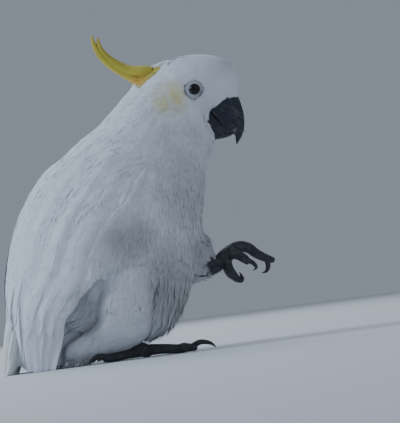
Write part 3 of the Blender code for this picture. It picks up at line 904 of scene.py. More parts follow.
def tubeSurface(line, relief=0.0):
    # a round bar along the line; relief raises scutes on its back and pads under it
    line = np.array(line, float)
    away = Vector(line[1, :3] - line[0, :3]).normalized()
    length = lengths(np.diff(line[:, :3], axis=0)).sum()
    cap = 0.04  # the share of the bar that each rounded end takes up

    def surface(along, turn):
        ends = np.clip(along * (1 + 2 * cap) - cap, 0, 1)
        at = ends * (len(line) - 1)
        value = throughRows(line, at)
        heading = unit(throughRows(line, at + 0.02)[:, :3] - throughRows(line, at - 0.02)[:, :3])
        across = unit(np.cross(heading, np.array([[0.3 * away.z, 1.0, 0.0]])))
        across = np.where((np.abs(heading[:, 1]) > 0.95)[:, None], np.array([[1.0, 0, 0]]), across)
        over = unit(np.cross(across, heading))
        before = np.clip(cap - along, 0, 1) / cap
        past = np.clip(along - (1 - cap), 0, 1) / cap
        rounding = np.sqrt(np.clip(1 - before**2, 0, 1)) * np.sqrt(np.clip(1 - past**2, 0, 1))
        reach = value[:, 3]
        if relief:
            back = np.clip(np.cos(turn) * 1.6, 0, 1)
            step = ends * length / footValues["scuteLength"] + 0.12 * np.cos(turn * 2)
            scute = (step % 1.0) ** 0.6 - 0.55
            under = np.clip(-np.cos(turn) * 1.6 - 0.2, 0, 1)
            joint = np.cos(at * 2 * math.pi) * 0.5
            reach = reach + relief * (scute * back + 0.9 * joint * under)
        centre = value[:, :3] + heading * ((past - before) * value[:, 3] * 0.8)[:, None]
        points = centre + over * (reach * rounding * np.cos(turn))[:, None]
        points += across * (reach * rounding * np.sin(turn))[:, None]
        points[:, 0] += shiftX
        points[:, 2] = np.maximum(points[:, 2], 0.05)
        return points * mm

    return surface


def footMaterials():
    scaly, tree, shader = newMaterial("footScales", Roughness=0.62, Specular_IOR_Level=0.45)
    place = objectPlace(tree)
    cells = addNode(
        tree, "ShaderNodeTexVoronoi", {"Vector": place, "Scale": 620.0}, feature="DISTANCE_TO_EDGE"
    )
    creases = rampNode(tree, cells.outputs["Distance"], 0.02, 0.16)
    worn = mathNode(tree, "MULTIPLY", rampNode(tree, noiseNode(tree, place, 170, 4), 0.40, 0.68), creases)
    color = mixColors(tree, mathNode(tree, "MULTIPLY", worn, 0.8), footValues["scale"], footValues["worn"])
    finishWith(tree, shader, color, creases, 0.6, 0.0005)
    horn, tree, shader = newMaterial("clawHorn", Roughness=0.38)
    grain = noiseNode(tree, objectPlace(tree), 260, 3)
    finishWith(tree, shader, mixColors(tree, grain, *footValues["claw"]), grain, 0.3, 0.0003)
    return scaly, horn


def makeFeet():
    scaly, horn = footMaterials()
    for sideName, tarsus, toes, knobs, claws in (
        ("right", standingTarsus, standingToes, [], standingClaws),
        ("left", raisedTarsus, raisedToes, raisedKnobs, raisedClaws),
    ):
        limbs = [wrapped(28, 48, tubeSurface(tarsus, footValues["scute"]))]
        limbs += [wrapped(24, 72, tubeSurface(toe, footValues["scute"])) for toe in toes]
        limbs += [wrapped(16, 16, tubeSurface(knob)) for knob in knobs]
        foot = remeshed(joined(limbs), footValues["voxel"] * mm)
        smoothShape(foot, 1)
        for vertex in foot.verts:
            vertex.co.z = max(vertex.co.z, 0.0)
        bodies = ["tarsus_" + sideName] + [f"toe_{sideName}_{n}" for n in (1, 2, 3, 4)]
        piece("foot_" + sideName, foot, scaly, bodies)
        hooks = [wrapped(20, 40, tubeSurface(claw)) for claw in claws]
        piece("claws_" + sideName, joined(hooks), horn, [f"claw_{sideName}_{n}" for n in (1, 2, 3, 4)])


makeFeet()
print("feet are made")


bakedPatch = 0.003  # how much of the baked map one feather takes up
lowestFeather = 0.0003  # feathers stay this far above the floor, in metres


def featherTemplate(columns, rows, fray=0.1, rootWidth=0.12, widest=0.62, point=0.35):
    # a flat vane: along 0 to 1, across -1 to 1, with the faces of a grid
    shape = bmesh.new()
    bmesh.ops.create_grid(shape, x_segments=columns, y_segments=rows, size=1.0)
    side = np.array([v.co.x for v in shape.verts])
    along = np.array([(v.co.y + 1) / 2 for v in shape.verts])
    row = np.round(along * rows).astype(int)
    column = np.round((side + 1) / 2 * columns).astype(int)
    width = np.where(
        along < widest,
        rootWidth + (1 - rootWidth) * np.sin(along / widest * math.pi / 2),
        1 - (1 - point) * ((along - widest) / (1 - widest)) ** 2,
    )
    # the tip's corners and notches stay in front of the row before it
    along -= np.minimum(side**2 * 0.16 + fray * (column % 2), 0.8 / rows) * (row == rows)
    across = side * width
    for vertex, x, y in zip(shape.verts, across.tolist(), along.tolist()):
        vertex.co = (x, y, 0)
    bmesh.ops.triangulate(shape, faces=shape.faces)
    faces = np.array([[v.index for v in face.verts] for face in shape.faces])
    shape.free()
    return {"across": across, "side": side, "along": along, "row": row, "faces": faces, "rows": rows}


def softenNormals(mesh, body, share):
    # the vanes take up part of the body's own roundness, as downy feathers do
    own = np.empty(len(mesh.vertices) * 3, np.float32)
    mesh.vertex_normals.foreach_get("vector", own)
    softened = unit(own.reshape(-1, 3) * (1 - share) + body * share)
    mesh.normals_split_custom_set_from_vertices(softened.tolist())


def bodyFacing(points, normal, template):
    # for each vane, the cosine between the body's direction and the seen face that turns furthest from it
    row = template["row"]
    seen = template["faces"][(row[template["faces"]] > 0).all(axis=1)]
    a, b, c = (points[:, seen[:, corner]] for corner in range(3))
    faceNormal = unit(np.cross(b - a, c - a))
    return (faceNormal * normal[:, row[seen[:, 0]]]).sum(axis=-1).min(axis=1)


def vanePoints(template, spine, normal, width, camber, ragged):
    # spine and normal hold one point for each row of the template, for every feather
    row = template["row"]
    heading = unit(np.gradient(spine, axis=1))
    sideways = unit(np.cross(heading, normal))
    upward = np.cross(sideways, heading)
    step = lengths(spine[:, -1] - spine[:, -2])
    extra = (template["along"] - row / template["rows"]) * template["rows"]
    roughness = 1 + rng.uniform(-ragged, ragged, (len(spine), len(row))) * (np.abs(template["side"]) > 0.4)
    offset = template["across"] * roughness * width[:, None]
    drop = -camber * template["side"] * template["across"] * width[:, None]
    points = spine[:, row] + sideways[:, row] * offset[..., None] + upward[:, row] * drop[..., None]
    points += heading[:, row] * extra[None, :, None] * step[:, None, None]
    points[..., 2] = np.maximum(points[..., 2], lowestFeather)
    return points


def vaneMesh(
    name, template, spine, normal, width, mapPlace, tone, camber=0.25, ragged=0.12, soft=0.0, facing=None
):
    # one mesh of many feathers, each a copy of the template laid along its spine
    points = vanePoints(template, spine, normal, width, camber, ragged)
    if facing is not None:
        good = bodyFacing(points, normal, template) > facing
        points, normal, mapPlace, tone = points[good], normal[good], mapPlace[good], tone[good]
    count = len(points)
    size = len(template["row"])
    faces = (template["faces"][None] + (np.arange(count) * size)[:, None, None]).reshape(-1, 3)
    mesh = bpy.data.meshes.new(name)
    mesh.vertices.add(count * size)
    mesh.vertices.foreach_set("co", points.astype(np.float32).ravel())
    mesh.loops.add(faces.size)
    mesh.loops.foreach_set("vertex_index", faces.astype(np.int32).ravel())
    mesh.polygons.add(len(faces))
    mesh.polygons.foreach_set("loop_start", np.arange(0, faces.size, 3, dtype=np.int32))
    mesh.update(calc_edges=True)
    vane = np.stack([template["side"] / 2 + 0.5, template["along"]], axis=-1)[None].repeat(count, axis=0)
    vane[..., 0] += rng.uniform(0, 40, count)[:, None]
    baked = np.stack([template["side"] * 0.5, template["along"] - 0.5], axis=-1) * bakedPatch
    baked = np.clip(mapPlace[:, None] + baked[None], 0, 1)
    for layer, values in (("OFBake", baked), ("vane", vane)):
        corners = values.reshape(-1, 2)[faces.ravel()]
        mesh.uv_layers.new(name=layer).data.foreach_set("uv", corners.astype(np.float32).ravel())
    toneLayer = mesh.attributes.new("tone", "FLOAT", "POINT")
    toneLayer.data.foreach_set("value", np.repeat(tone, size).astype(np.float32))
    mesh.shade_smooth()
    if soft:
        softenNormals(mesh, normal[:, template["row"]].reshape(-1, 3), soft)
    print(name, count, "feathers", len(mesh.polygons), "faces")
    return mesh


def rowsOnForm(form, plan):
    # roots in staggered rows round a form; the gap between feathers follows the plan's list
    along, around, gaps = [], [], []
    at = plan["first"]
    rowNumber = 0
    turn = np.linspace(plan.get("start", 0.0), plan.get("end", 2 * math.pi), 241)
    while at < plan["last"]:
        gap = np.interp(at, *zip(*plan["gaps"])) * mm
        ring = formPoints(form, np.full(len(turn), at), turn)
        arc = np.concatenate([[0], np.cumsum(lengths(np.diff(ring, axis=0)))])
        number = max(int(arc[-1] / gap), 3)
        spot = (np.arange(number) + 0.5 * (rowNumber % 2) + rng.uniform(-0.32, 0.32, number)) / number
        around.append(np.interp(spot % 1.0 * arc[-1], arc, turn))
        ahead = formPoints(form, np.full(len(turn), at + 0.02), turn)
        pace = lengths(ahead - ring).mean() / 0.02
        step = gap / max(pace, 0.002)
        along.append(at + rng.uniform(-0.35, 0.35, number) * step)
        gaps.append(np.full(number, gap))
        at += step
        rowNumber += 1
    return np.concatenate(along), np.concatenate(around), np.concatenate(gaps)


def foldsOf(form, along, around, turnPace, plan):
    # long soft folds of the plumage: their height, and how far they tilt the surface
    def waves(shift):
        spots = np.stack([around * plan["foldTurn"] + shift, along * plan["foldLength"]], axis=-1)
        heights = [noise.noise(Vector((a, b, 0))) for a, b in spots.reshape(-1, 2).tolist()]
        return np.array(heights).reshape(along.shape)

    shift = 0.08
    size = np.interp(along, *zip(*plan["folds"])) * mm
    here = waves(0)
    slope = size * (waves(shift) - here) / (shift / plan["foldTurn"] * turnPace[:, None])
    aside = unit(formPoints(form, along, around + 0.02) - formPoints(form, along, around - 0.02))
    return size * (here + 0.15), aside * slope[..., None]


# how near to the eye's centre, in millimetres: a root, a tip, where a vane that runs towards the eye stops,
# and any blade; what lies within the last distance of the middle line isn't beside the eye
eyeRoom = {"root": 10.2, "tip": 10.0, "stop": 9.6, "blade": 9.2, "middle": 20.0}


def besideEye(points):
    return np.hypot(points[..., 0] - eyeCentre.x, points[..., 2] - eyeCentre.z) / mm


def onMiddle(points):
    return np.abs(points[..., 1]) < eyeRoom["middle"] * mm


def coatRoots(form, plan):
    # roots near the skin, off the floor and outside the eye's ring
    along, around, gap = rowsOnForm(form, plan)
    root = formPoints(form, along, around)
    _, _, mapPlace, height = onSkin(root)
    kept = (height > plan.get("sunk", -1.2) * mm) & (height < plan.get("deepest", 6.0) * mm)
    kept &= root[:, 2] > plan.get("floor", 0.004)
    kept &= (besideEye(root) > eyeRoom["root"]) | onMiddle(root)
    return along[kept], around[kept], gap[kept], mapPlace[kept], root[kept]


def stoppedAtEye(length, root, tip):
    # vanes that run towards the eye stop at its ring
    rootAway = besideEye(root)
    tipAway = besideEye(tip)
    stopped = (tipAway < eyeRoom["tip"]) & (rootAway > eyeRoom["root"]) & ~onMiddle(root)
    room = (rootAway - eyeRoom["stop"]) / np.maximum(rootAway - tipAway, 1.0)
    return np.where(stopped, length * np.clip(room, 0.2, 1.0), length)


def offSkin(plan, along, above, alike):
    # 0 where a vane keeps to the skin, 1 where it keeps to the form: past the form's end, over a hollow or
    # round an edge, where the directions of the two are no longer alike
    leave = np.clip((along - plan.get("free", 99)) / 0.6, 0, 1)
    leave = np.maximum(leave, np.clip((above - plan.get("over", 5.5) * mm) / (3 * mm), 0, 1))
    return np.maximum(leave, np.clip((plan.get("bend", 0.72) - alike) / 0.25, 0, 1))


# the least and most of its due length that a vane may have, its steepness, and how deep its root may lie in the
# bill, in millimetres
laidValues = {"shortest": 0.6, "longest": 1.5, "steepest": 0.62, "inBill": 3.5}


def wellLaid(spine, normal, along, length, plan):
    # leaves out vanes over the eye or in the bill, and crumpled or upright ones
    fine = (besideEye(spine).min(axis=1) > eyeRoom["blade"]) | onMiddle(spine[:, -1])
    if plan.get("nearBill"):
        for number in np.flatnonzero(fine & (along < plan["nearBill"])):
            fine[number] = insideDepth(billTree, Vector(spine[number, 0])) < laidValues["inBill"] * mm
            fine[number] &= insideDepth(billTree, Vector(spine[number, -1])) < 0
    share = lengths(np.diff(spine, axis=1)).sum(axis=1) / length
    steep = np.abs((unit(np.diff(spine, axis=1)) * normal[:, 1:]).sum(axis=-1)).max(axis=1)
    fine &= (share > laidValues["shortest"]) & (share < laidValues["longest"])
    return fine & (steep < laidValues["steepest"])


def layCoat(name, form, plan, template, keepSide=None, material=coatMaterial):
    if keepSide:
        bounds = (0.0, math.pi - 0.03) if keepSide > 0 else (math.pi + 0.03, 2 * math.pi)
        plan = dict(plan, start=bounds[0], end=bounds[1])
    along, around, gap, mapPlace, place = coatRoots(form, plan)
    count = len(along)
    length = gap * plan["length"] * rng.uniform(0.8, 1.2, count)
    pace = lengths(formPoints(form, along + 0.02, around) - formPoints(form, along - 0.02, around)) / 0.04
    turnPace = np.maximum(turnPaceOf(form, along, around), 0.008)
    # clumps: neighbours lean and lift together
    lean = np.array([noise.noise(Vector(p) * 50) for p in place]) * plan["lean"]
    lift = np.array([noise.noise(Vector(p) * 60 + Vector((9, 4, 2))) for p in place])
    lean += rng.normal(0, plan.get("stray", 0.12), count)
    tip = formPoints(form, along + length / pace * np.cos(lean), around + length / turnPace * np.sin(lean))
    length = stoppedAtEye(length, place, tip)
    t = np.linspace(0, 1, template["rows"] + 1)
    stepsAlong = along[:, None] + (length / pace)[:, None] * t * np.cos(lean)[:, None]
    stepsAround = around[:, None] + (length / turnPace)[:, None] * t * np.sin(lean)[:, None]
    if keepSide:
        stepsAround = np.clip(stepsAround, bounds[0] - 0.3 * (keepSide > 0), bounds[1] + 0.3 * (keepSide < 0))
    path = formPoints(form, stepsAlong, stepsAround)
    ground, normal, _, above = onSkin(path)
    depth = np.interp(along, *zip(*plan["depth"])) * mm * (1 + 0.2 * lift) * rng.uniform(0.94, 1.06, count)
    # the first rows are tucked under the coat before them
    low = plan.get("rootHeight", 0.55)
    tuck = [plan["first"], plan["first"] + plan.get("tuck", 0.0)]
    low = np.interp(along, tuck, [low - plan.get("tucked", 0.0), low])[:, None]
    rise = depth[:, None] * (low + (1 - low) * t**0.8)
    tilt = np.zeros(3)
    if plan.get("folds"):
        height, tilt = foldsOf(form, stepsAlong, stepsAround, turnPace, plan)
        rise = rise + height
    outward = outwardOf(form, stepsAlong, stepsAround)
    leave = offSkin(plan, stepsAlong, above, (outward * normal).sum(axis=-1))
    buried = above < -plan.get("ride", 2.5) * mm
    leave = np.where(buried, 1.0, leave)[..., None]
    normal = unit(normal * (1 - leave) + outward * leave)
    hanging = path - outward * np.minimum(depth, 3 * mm)[:, None, None]
    spine = hanging * leave + ground * (1 - leave) + normal * np.where(buried, 0.0, rise)[..., None]
    normal = unit(normal - tilt)
    spine[:, :, 2] -= plan.get("droop", 0.0) * length[:, None] * t**2
    if plan.get("loose"):
        away = rng.uniform(0, 1, count) ** 4 * plan["loose"] * mm
        spine += normal * away[:, None, None] * t[None, :, None] ** 2
    width = gap * plan["width"] * rng.uniform(0.8, 1.2, count)
    # tone is partly random and partly painted shading: clumps that lift higher are painted lighter
    tone = rng.uniform(0, 1, count) * 0.6 + 0.2 + 0.4 * lift
    fine = wellLaid(spine, normal, along, length, plan)
    mesh = vaneMesh(
        name, template, spine[fine], normal[fine], width[fine], mapPlace[fine], tone[fine],
        camber=plan.get("camber", 0.25), ragged=0.15, soft=plan["soft"], facing=0.25,
    )
    dressed(name, mesh, material)


smallVane = featherTemplate(2, 3, fray=0.0, point=0.2)
softVane = featherTemplate(4, 4, fray=0.22, point=0.35)

# A coat's plan, where pairs give a value by the place along the form:
# first, last, start and end bound the roots along and around the form; gaps are the millimetres between them;
# length and width are in gaps; depth is the tips' height over the skin, and rootHeight the roots' share;
# lean, stray, droop and loose stir the vanes, and soft is how far they take up the body's roundness;
# folds, foldTurn and foldLength give the height and spacing of long folds;
# sunk and deepest bound how far from the skin a root may lie; the rest says where a vane leaves the skin.
foldRamp = [(5.2, 0.0), (8.5, 1.5), (15, 2.0)]
headPlan = {
    "first": -0.75, "last": 5.4, "gaps": [(0, 0.85), (2, 0.95), (4, 1.2), (5.6, 1.6)], "length": 6.8,
    "width": 0.60, "depth": [(0, 1.1), (2, 1.9), (5.6, 3.0)], "lean": 0.26, "nearBill": 5.0,
    "deepest": 6.0, "camber": 0.22, "rootHeight": 0.80, "soft": 0.88, "stray": 0.06, "sunk": -9.0,
    "ride": 9.0, "bend": -2, "over": 12,
}
neckPlan = {
    "first": 5.0, "last": 8.1, "gaps": [(5, 1.6), (8, 2.3)], "length": 8.5, "width": 0.62,
    "depth": [(5, 3.0), (8, 3.4)], "lean": 0.20, "nearBill": 6.0, "deepest": 7.0, "loose": 1.0,
    "rootHeight": 0.78, "soft": 0.85, "stray": 0.06, "ride": 9.0, "sunk": -5.0, "folds": foldRamp,
    "foldTurn": 6.0, "foldLength": 0.6, "bend": 0.2,
}
bodyPlan = {
    "first": 7.9, "last": 11.6, "gaps": [(8, 2.3), (11, 2.8), (15, 2.8)], "length": 9.0, "width": 0.60,
    "depth": [(8, 3.4), (15, 3.6)], "lean": 0.20, "deepest": 8.0, "sunk": -5.0, "droop": 0.04,
    "loose": 2.0, "rootHeight": 0.78, "soft": 0.84, "stray": 0.07, "folds": foldRamp, "foldTurn": 6.0,
    "foldLength": 0.6, "ride": 9.0,
}
bellyPlan = dict(bodyPlan, first=11.5, last=14.8, loose=4.5, free=14.2, droop=0.10, ride=4.5)
fringePlan = dict(
    bellyPlan, first=11.4, last=14.3, gaps=[(11, 4.4), (15, 4.4)], length=7.0, width=0.28, loose=8.0,
    droop=0.2, start=math.pi - 1.25, end=math.pi + 1.25, rootHeight=0.6,
)
layCoat("headCoat", bodyForm, headPlan, smallVane)
layCoat("napeCoat", bodyForm, dict(neckPlan, last=6.6), softVane)
layCoat("neckCoat", bodyForm, dict(neckPlan, first=6.58), softVane)
layCoat("breastCoat", bodyForm, dict(bodyPlan, last=9.8), softVane)
layCoat("flankCoat", bodyForm, dict(bodyPlan, first=9.78), softVane)
layCoat("bellyCoat", bodyForm, bellyPlan, softVane)
layCoat("bellyFringe", bodyForm, fringePlan, smallVane)

thighPlan = {
    "first": 0.2, "last": 6.0, "gaps": [(0, 2.4), (6, 1.9)], "length": 8.5, "width": 0.58,
    "depth": [(0, 2.8), (6, 1.6)], "lean": 0.20, "deepest": 5.5, "droop": 0.03, "loose": 1.5, "free": 5.5,
    "rootHeight": 0.70, "soft": 0.84, "stray": 0.07, "folds": [(0, 1.0), (6, 1.4)], "foldTurn": 3.0,
    "foldLength": 0.5, "tuck": 0.7, "tucked": 0.75,
}
raisedPlan = {
    "first": 0.6, "last": 3.9, "gaps": [(0, 2.4), (4, 1.7)], "length": 8.0, "width": 0.56,
    "depth": [(0, 3.0), (4, 1.6)], "lean": 0.16, "deepest": 9.0, "droop": 0.05, "loose": 1.5, "free": 3.5,
    "sunk": -7, "over": 9.0, "bend": 0.3, "ride": 7.0, "rootHeight": 0.72, "soft": 0.82, "stray": 0.08,
    "folds": [(0, 1.0), (4, 0.6)], "foldTurn": 3.0, "foldLength": 0.6, "tuck": 0.8, "tucked": 0.75,
}
ventForm = [
    (-80, 92, 10, 62, 30, 0),
    (-90, 66, -8, 42, 27, 0),
    (-100, 42, -26, 22, 25, 0),
    (-109, 18, -38, 1, 24, 0),
]
ventPlan = {
    "first": 0.0, "last": 2.3, "gaps": [(0, 3.4), (3, 3.4)], "length": 7.0, "width": 0.62,
    "depth": [(0, 3.0), (3, 3.0)], "lean": 0.2, "deepest": 90, "sunk": -90, "floor": 0.002, "free": -2,
    "rootHeight": 0.6, "soft": 0.7,
}
layCoat("ventCoat", ventForm, ventPlan, softVane)
layCoat("rightThighCoat", rightThighForm, thighPlan, softVane)
layCoat("leftThighCoat", leftThighForm, raisedPlan, softVane)
raisedFringe = dict(
    raisedPlan, first=1.2, last=3.5, gaps=[(0, 3.6), (4, 3.2)], length=6.0, width=0.28, loose=7.0,
    droop=0.12,
)
layCoat("raisedFringe", leftThighForm, raisedFringe, smallVane)

wingFolds = [(1.5, 0.6), (4, 2.2), (7, 3.2), (11, 3.0)]
wingPlan = {
    "first": 1.6, "last": 7.6, "gaps": [(2, 2.5), (4, 3.2), (6, 4.4), (7.6, 5.2)], "length": 8.5,
    "width": 0.66, "depth": [(2, 3.0), (6, 3.8)], "lean": 0.14, "stray": 0.05, "deepest": 7.5,
    "soft": 0.72, "camber": 0.22, "rootHeight": 0.80, "folds": wingFolds, "foldTurn": 4.0,
    "foldLength": 0.22, "loose": 0.6, "over": 9.0, "bend": 0.45,
}
longVane = featherTemplate(4, 7, fray=0.1, point=0.3)
for sideName, side in (("right", -1), ("left", 1)):
    layCoat("wingCoat_" + sideName, wingSurface, wingPlan, longVane, keepSide=side)


# the flank's plumes hang over the wing's front edge: the edge's x and z, and the reach before and behind it
curtainLine = [
    (72, 214, 14, 4), (58.8, 195, 20, 0), (45.4, 165.3, 26, -8), (21, 136.2, 27, -12), (5, 106, 24, -14),
    (-6, 84, 16, -16),
]


def curtainSurface(side):
    rows, columns = 40, 30
    line = throughRows(curtainLine, np.linspace(0, len(curtainLine) - 1, rows + 1))
    share = np.linspace(0, 1, columns + 1)
    x = line[:, 0, None] + line[:, 2, None] * (1 - share) + line[:, 3, None] * share + shiftX
    z = np.repeat(line[:, 1, None], columns + 1, axis=1)
    out = np.full(x.shape, 50.0)
    for spot in np.ndindex(x.shape):
        hit = skinTree.ray_cast(Vector((x[spot], side * 130, z[spot])) * mm, Vector((0, -side, 0)))[0]
        if hit:
            out[spot] = hit.y * side / mm
    for _ in range(7):
        out = np.maximum(out, np.pad(out, ((0, 0), (1, 1)), "edge")[:, 2:])
    for _ in range(14):
        more = np.pad(out, ((1, 1), (0, 0)), "edge")
        out = (more[2:] + 2 * out + more[:-2]) / 4
        more = np.pad(out, ((0, 0), (1, 1)), "edge")
        out = (more[:, 2:] + 2 * out + more[:, :-2]) / 4
    grid = np.stack([x, (out + 2.8 + 1.4 * share) * side, z], axis=-1)

    def surface(along, around):
        down = np.clip(along, -0.2, len(curtainLine) - 1) / (len(curtainLine) - 1) * rows
        across = np.clip(around, -0.1, 1.1) * columns
        row = np.clip(down.astype(int), 0, rows - 1)
        column = np.clip(across.astype(int), 0, columns - 1)
        down = (down - row)[..., None]
        across = (across - column)[..., None]
        near = grid[row, column] * (1 - across) + grid[row, column + 1] * across
        far = grid[row + 1, column] * (1 - across) + grid[row + 1, column + 1] * across
        return (near * (1 - down) + far * down) * mm

    return surface


curtainPlan = {
    "first": 0.1, "last": 4.15, "gaps": [(0, 2.3), (4, 2.7)], "length": 8.6, "width": 0.60,
    "depth": [(0, 3.2), (5, 3.2)], "lean": 0.10, "stray": 0.05, "deepest": 60, "sunk": -60, "free": -2,
    "rootHeight": 0.80, "soft": 0.84, "loose": 1.5, "start": 0.0, "end": 1.0,
    "folds": [(0, 0.6), (3, 1.6), (5, 2.0)], "foldTurn": 3.0, "foldLength": 0.4, "tuck": 0.8,
    "tucked": 0.8,
}
for sideName, side in (("right", -1), ("left", 1)):
    layCoat("sideCoat_" + sideName, curtainSurface(side), curtainPlan, softVane)


# small feathers round the bill, their tips over its rim
rimValues = {
    "perPoint": 9,
    "back": 7.0,
    "over": 1.6,
    "corner": 2.6,
    "width": 0.75,
    "height": 1.1,
    "stray": 1.2,
    "middle": (158, 0, 252),  # the feathers point away from here
}


def rimCoat():
    count = len(billRim) * rimValues["perPoint"]
    rim = np.repeat(billRim, rimValues["perPoint"], axis=0)
    rim = rim + rng.uniform(-rimValues["stray"], rimValues["stray"], (count, 3)) * mm
    rim, normal, mapPlace, _ = onSkin(rim)
    away = rim - np.array(placed(*rimValues["middle"]))
    away = unit(away - normal * (away * normal).sum(axis=1)[:, None])
    back = rng.uniform(0.3, 1.0, count) * rimValues["back"] * mm
    t = np.linspace(0, 1, smallVane["rows"] + 1)
    # longer at the corners of the brow, so that the bill's root looks round from the front
    corner = np.clip(np.abs(rim[:, 1]) / mm / 11, 0, 1) ** 2 * (rim[:, 2] > 0.268) * rimValues["corner"]
    over = rng.uniform(0.2, 1.0, count) * (rimValues["over"] + corner) * mm
    reach = back[:, None] * (1 - t) - over[:, None] * t
    path = rim[:, None] + away[:, None] * reach[..., None]
    ground, normals, _, _ = onSkin(path)
    height = rimValues["height"] * rng.uniform(0.6, 1.2, count)[:, None] * (0.3 + 0.7 * t) * mm
    onBill = reach < 0
    spine = np.where(onBill[..., None], path, ground) + normals * height[..., None]
    width = rimValues["width"] * rng.uniform(0.8, 1.2, count) * mm
    tone = rng.uniform(0.2, 0.8, count)
    mesh = vaneMesh("rimCoat", smallVane, spine, normals, width, mapPlace, tone, soft=0.85)
    dressed("rimCoat", mesh, coatMaterial)


rimCoat()


def vaneRow(
    name, form, feathers, rows=16, columns=6, camber=0.14, material=flightMaterial, replaced=(), narrow=0.25,
    soft=0.0, folds=False,
):
    # each feather: (along, around) of its root and of its tip, then in millimetres its half width,
    # its height above the form and how far it rises to the tip
    template = featherTemplate(columns, rows, fray=0.0, rootWidth=0.35, widest=0.55, point=narrow)
    t = np.linspace(0, 1, rows + 1)
    data = np.array(feathers, float)
    along = data[:, 0, None] + (data[:, 2] - data[:, 0])[:, None] * t
    around = data[:, 1, None] + (data[:, 3] - data[:, 1])[:, None] * t
    path = formPoints(form, along, around)
    normal = outwardOf(form, along, around)
    lift = data[:, 5, None] + data[:, 6, None] * t
    tilt = np.zeros(3)
    if folds:
        turnPace = turnPaceOf(form, along, around).mean(axis=1)
        height, tilt = foldsOf(form, along, around, turnPace, wingPlan)
        lift = lift + height / mm
    spine = path + normal * (lift * mm)[..., None]
    normal = unit(normal - tilt)
    _, _, mapPlace, _ = onSkin(path[:, rows // 2])
    tone = rng.uniform(0.25, 0.85, len(data))
    width = data[:, 4] * mm
    mesh = vaneMesh(name, template, spine, normal, width, mapPlace, tone, camber, ragged=0.05, soft=soft)
    dressed(name, mesh, material, replaced)


def aroundOf(fraction):
    # the turn about a form whose point lies this fraction of the way from the upper to the lower line
    return math.acos(1 - 2 * fraction)


def spread(first, last, count):
    return [first + (last - first) * n / (count - 1) for n in range(count)]


# shares run from the middle of the back, at 0, to the wing's front edge; ends are places along the wing
wingValues = {
    "shares": (0.01, 0.985),
    "primaries": 26,
    "primaryEnd": 10.35,
    "primaryWidth": 5.6,
    "coverts": 30,
    "covertEnd": 8.9,
    "covertWidth": 5.0,
}
tailValues = {
    "upper": 15,
    "upperTurn": 1.6,
    "upperEnd": 3.86,
    "upperWidth": 6.5,
    "lower": 9,
    "lowerTurns": (2.0, 4.28),
    "lowerEnd": 3.80,
    "lowerWidth": 7.5,
}


def flightFeathers(side):
    def turned(share):
        turn = aroundOf(min(max(share, wingValues["shares"][0]), wingValues["shares"][1]))
        return turn if side > 0 else 2 * math.pi - turn

    rows = []
    for n, share in enumerate(spread(0.97, 0.02, wingValues["primaries"])):
        root = turned(share + rng.uniform(-0.01, 0.01))
        tip = turned(share + rng.uniform(-0.03, 0.03))
        end = wingValues["primaryEnd"] + 0.45 * math.sin(share * 3) + rng.uniform(-0.35, 0.15)
        height = -1.3 + 0.35 * (n % 3)
        rows.append((6.0 + 0.9 * share**3, root, end, tip, wingValues["primaryWidth"], height, 0.6))
    for n, share in enumerate(spread(0.975, 0.02, wingValues["coverts"])):
        tip = turned(share + rng.uniform(-0.03, 0.03))
        end = wingValues["covertEnd"] + rng.uniform(-0.5, 0.4)
        height = -0.9 + 0.35 * (n % 3) - 0.8 * share**3
        rows.append((5.2 + 1.5 * share**3, turned(share), end, tip, wingValues["covertWidth"], height, 1.0))
    return rows


def tailFeathers():
    rows = []
    for n, turn in enumerate(spread(-tailValues["upperTurn"], tailValues["upperTurn"], tailValues["upper"])):
        end = tailValues["upperEnd"] + rng.uniform(-0.2, 0.0)
        height = 0.4 * (n % 2) - 0.6 - abs(turn) * 0.6
        rows.append((0.1, turn * 0.8, end, turn, tailValues["upperWidth"], height, 0.4))
    for n, turn in enumerate(spread(*tailValues["lowerTurns"], tailValues["lower"])):
        height = -0.8 + 0.3 * (n % 2)
        rows.append((0.1, turn, tailValues["lowerEnd"], turn, tailValues["lowerWidth"], height, 0.4))
    return rows


for sideName, side in (("right", -1), ("left", 1)):
    vaneRow("flightFeathers_" + sideName, wingSurface, flightFeathers(side), soft=0.5, folds=True)
vaneRow("tailFeathers", tailForm, tailFeathers(), soft=0.4, narrow=0.3)
print("flight and tail feathers are made")


crestValues = {
    "yellow": (0.66, 0.56, 0.075, 1),
    "shade": (0.46, 0.38, 0.05, 1),
    "root": (0.80, 0.50, 0.10, 1),
    "plumes": 30,
    "core": 0.78,  # the core's size as a share of the plumes' form
    "saddle": 0.47,  # how far the yellow root reaches round the nape, in radians
    "whiteAcross": 34,
    "whiteEnds": (3.8, 3.2, 2.5, 1.8),  # the layers of white plumes over the crest's root
}
# lines of each crest tract, with its half height: x, z and that
crestUpperLine = [
    (98, 309.5, 6.5), (79, 311.5, 8.4), (62, 315, 7.4), (47.5, 325, 6), (37, 336.5, 4.4), (33, 347, 2.8),
    (32.8, 357.4, 1),
]
crestLowerLine = [
    (84, 301, 4.5), (70, 303, 5.5), (56, 313.5, 5.5), (42, 325.5, 5), (32.4, 338, 4.2), (27.8, 349, 2.7),
    (26.3, 360.4, 1),
]
frontCrestForm = [
    (118, 323.6, 104, 290, 22, 0),
    (104, 321.8, 94, 291, 18.5, 0),
    (92, 318.8, 83, 295, 14, 0),
    (83, 318.2, 77, 303, 10.5, 0),
    (74, 318.2, 71, 309, 8, 0),
]
crestRootPlan = {
    "first": 5.3, "last": 6.2, "gaps": [(4, 1.25), (7, 1.25)], "length": 9.5, "width": 0.75,
    "depth": [(4, 4.0), (7, 4.2)], "lean": 0.1, "stray": 0.06, "deepest": 8.0, "sunk": -5,
    "rootHeight": 0.5, "soft": 0.8, "ride": 9, "bend": 0.2,
}


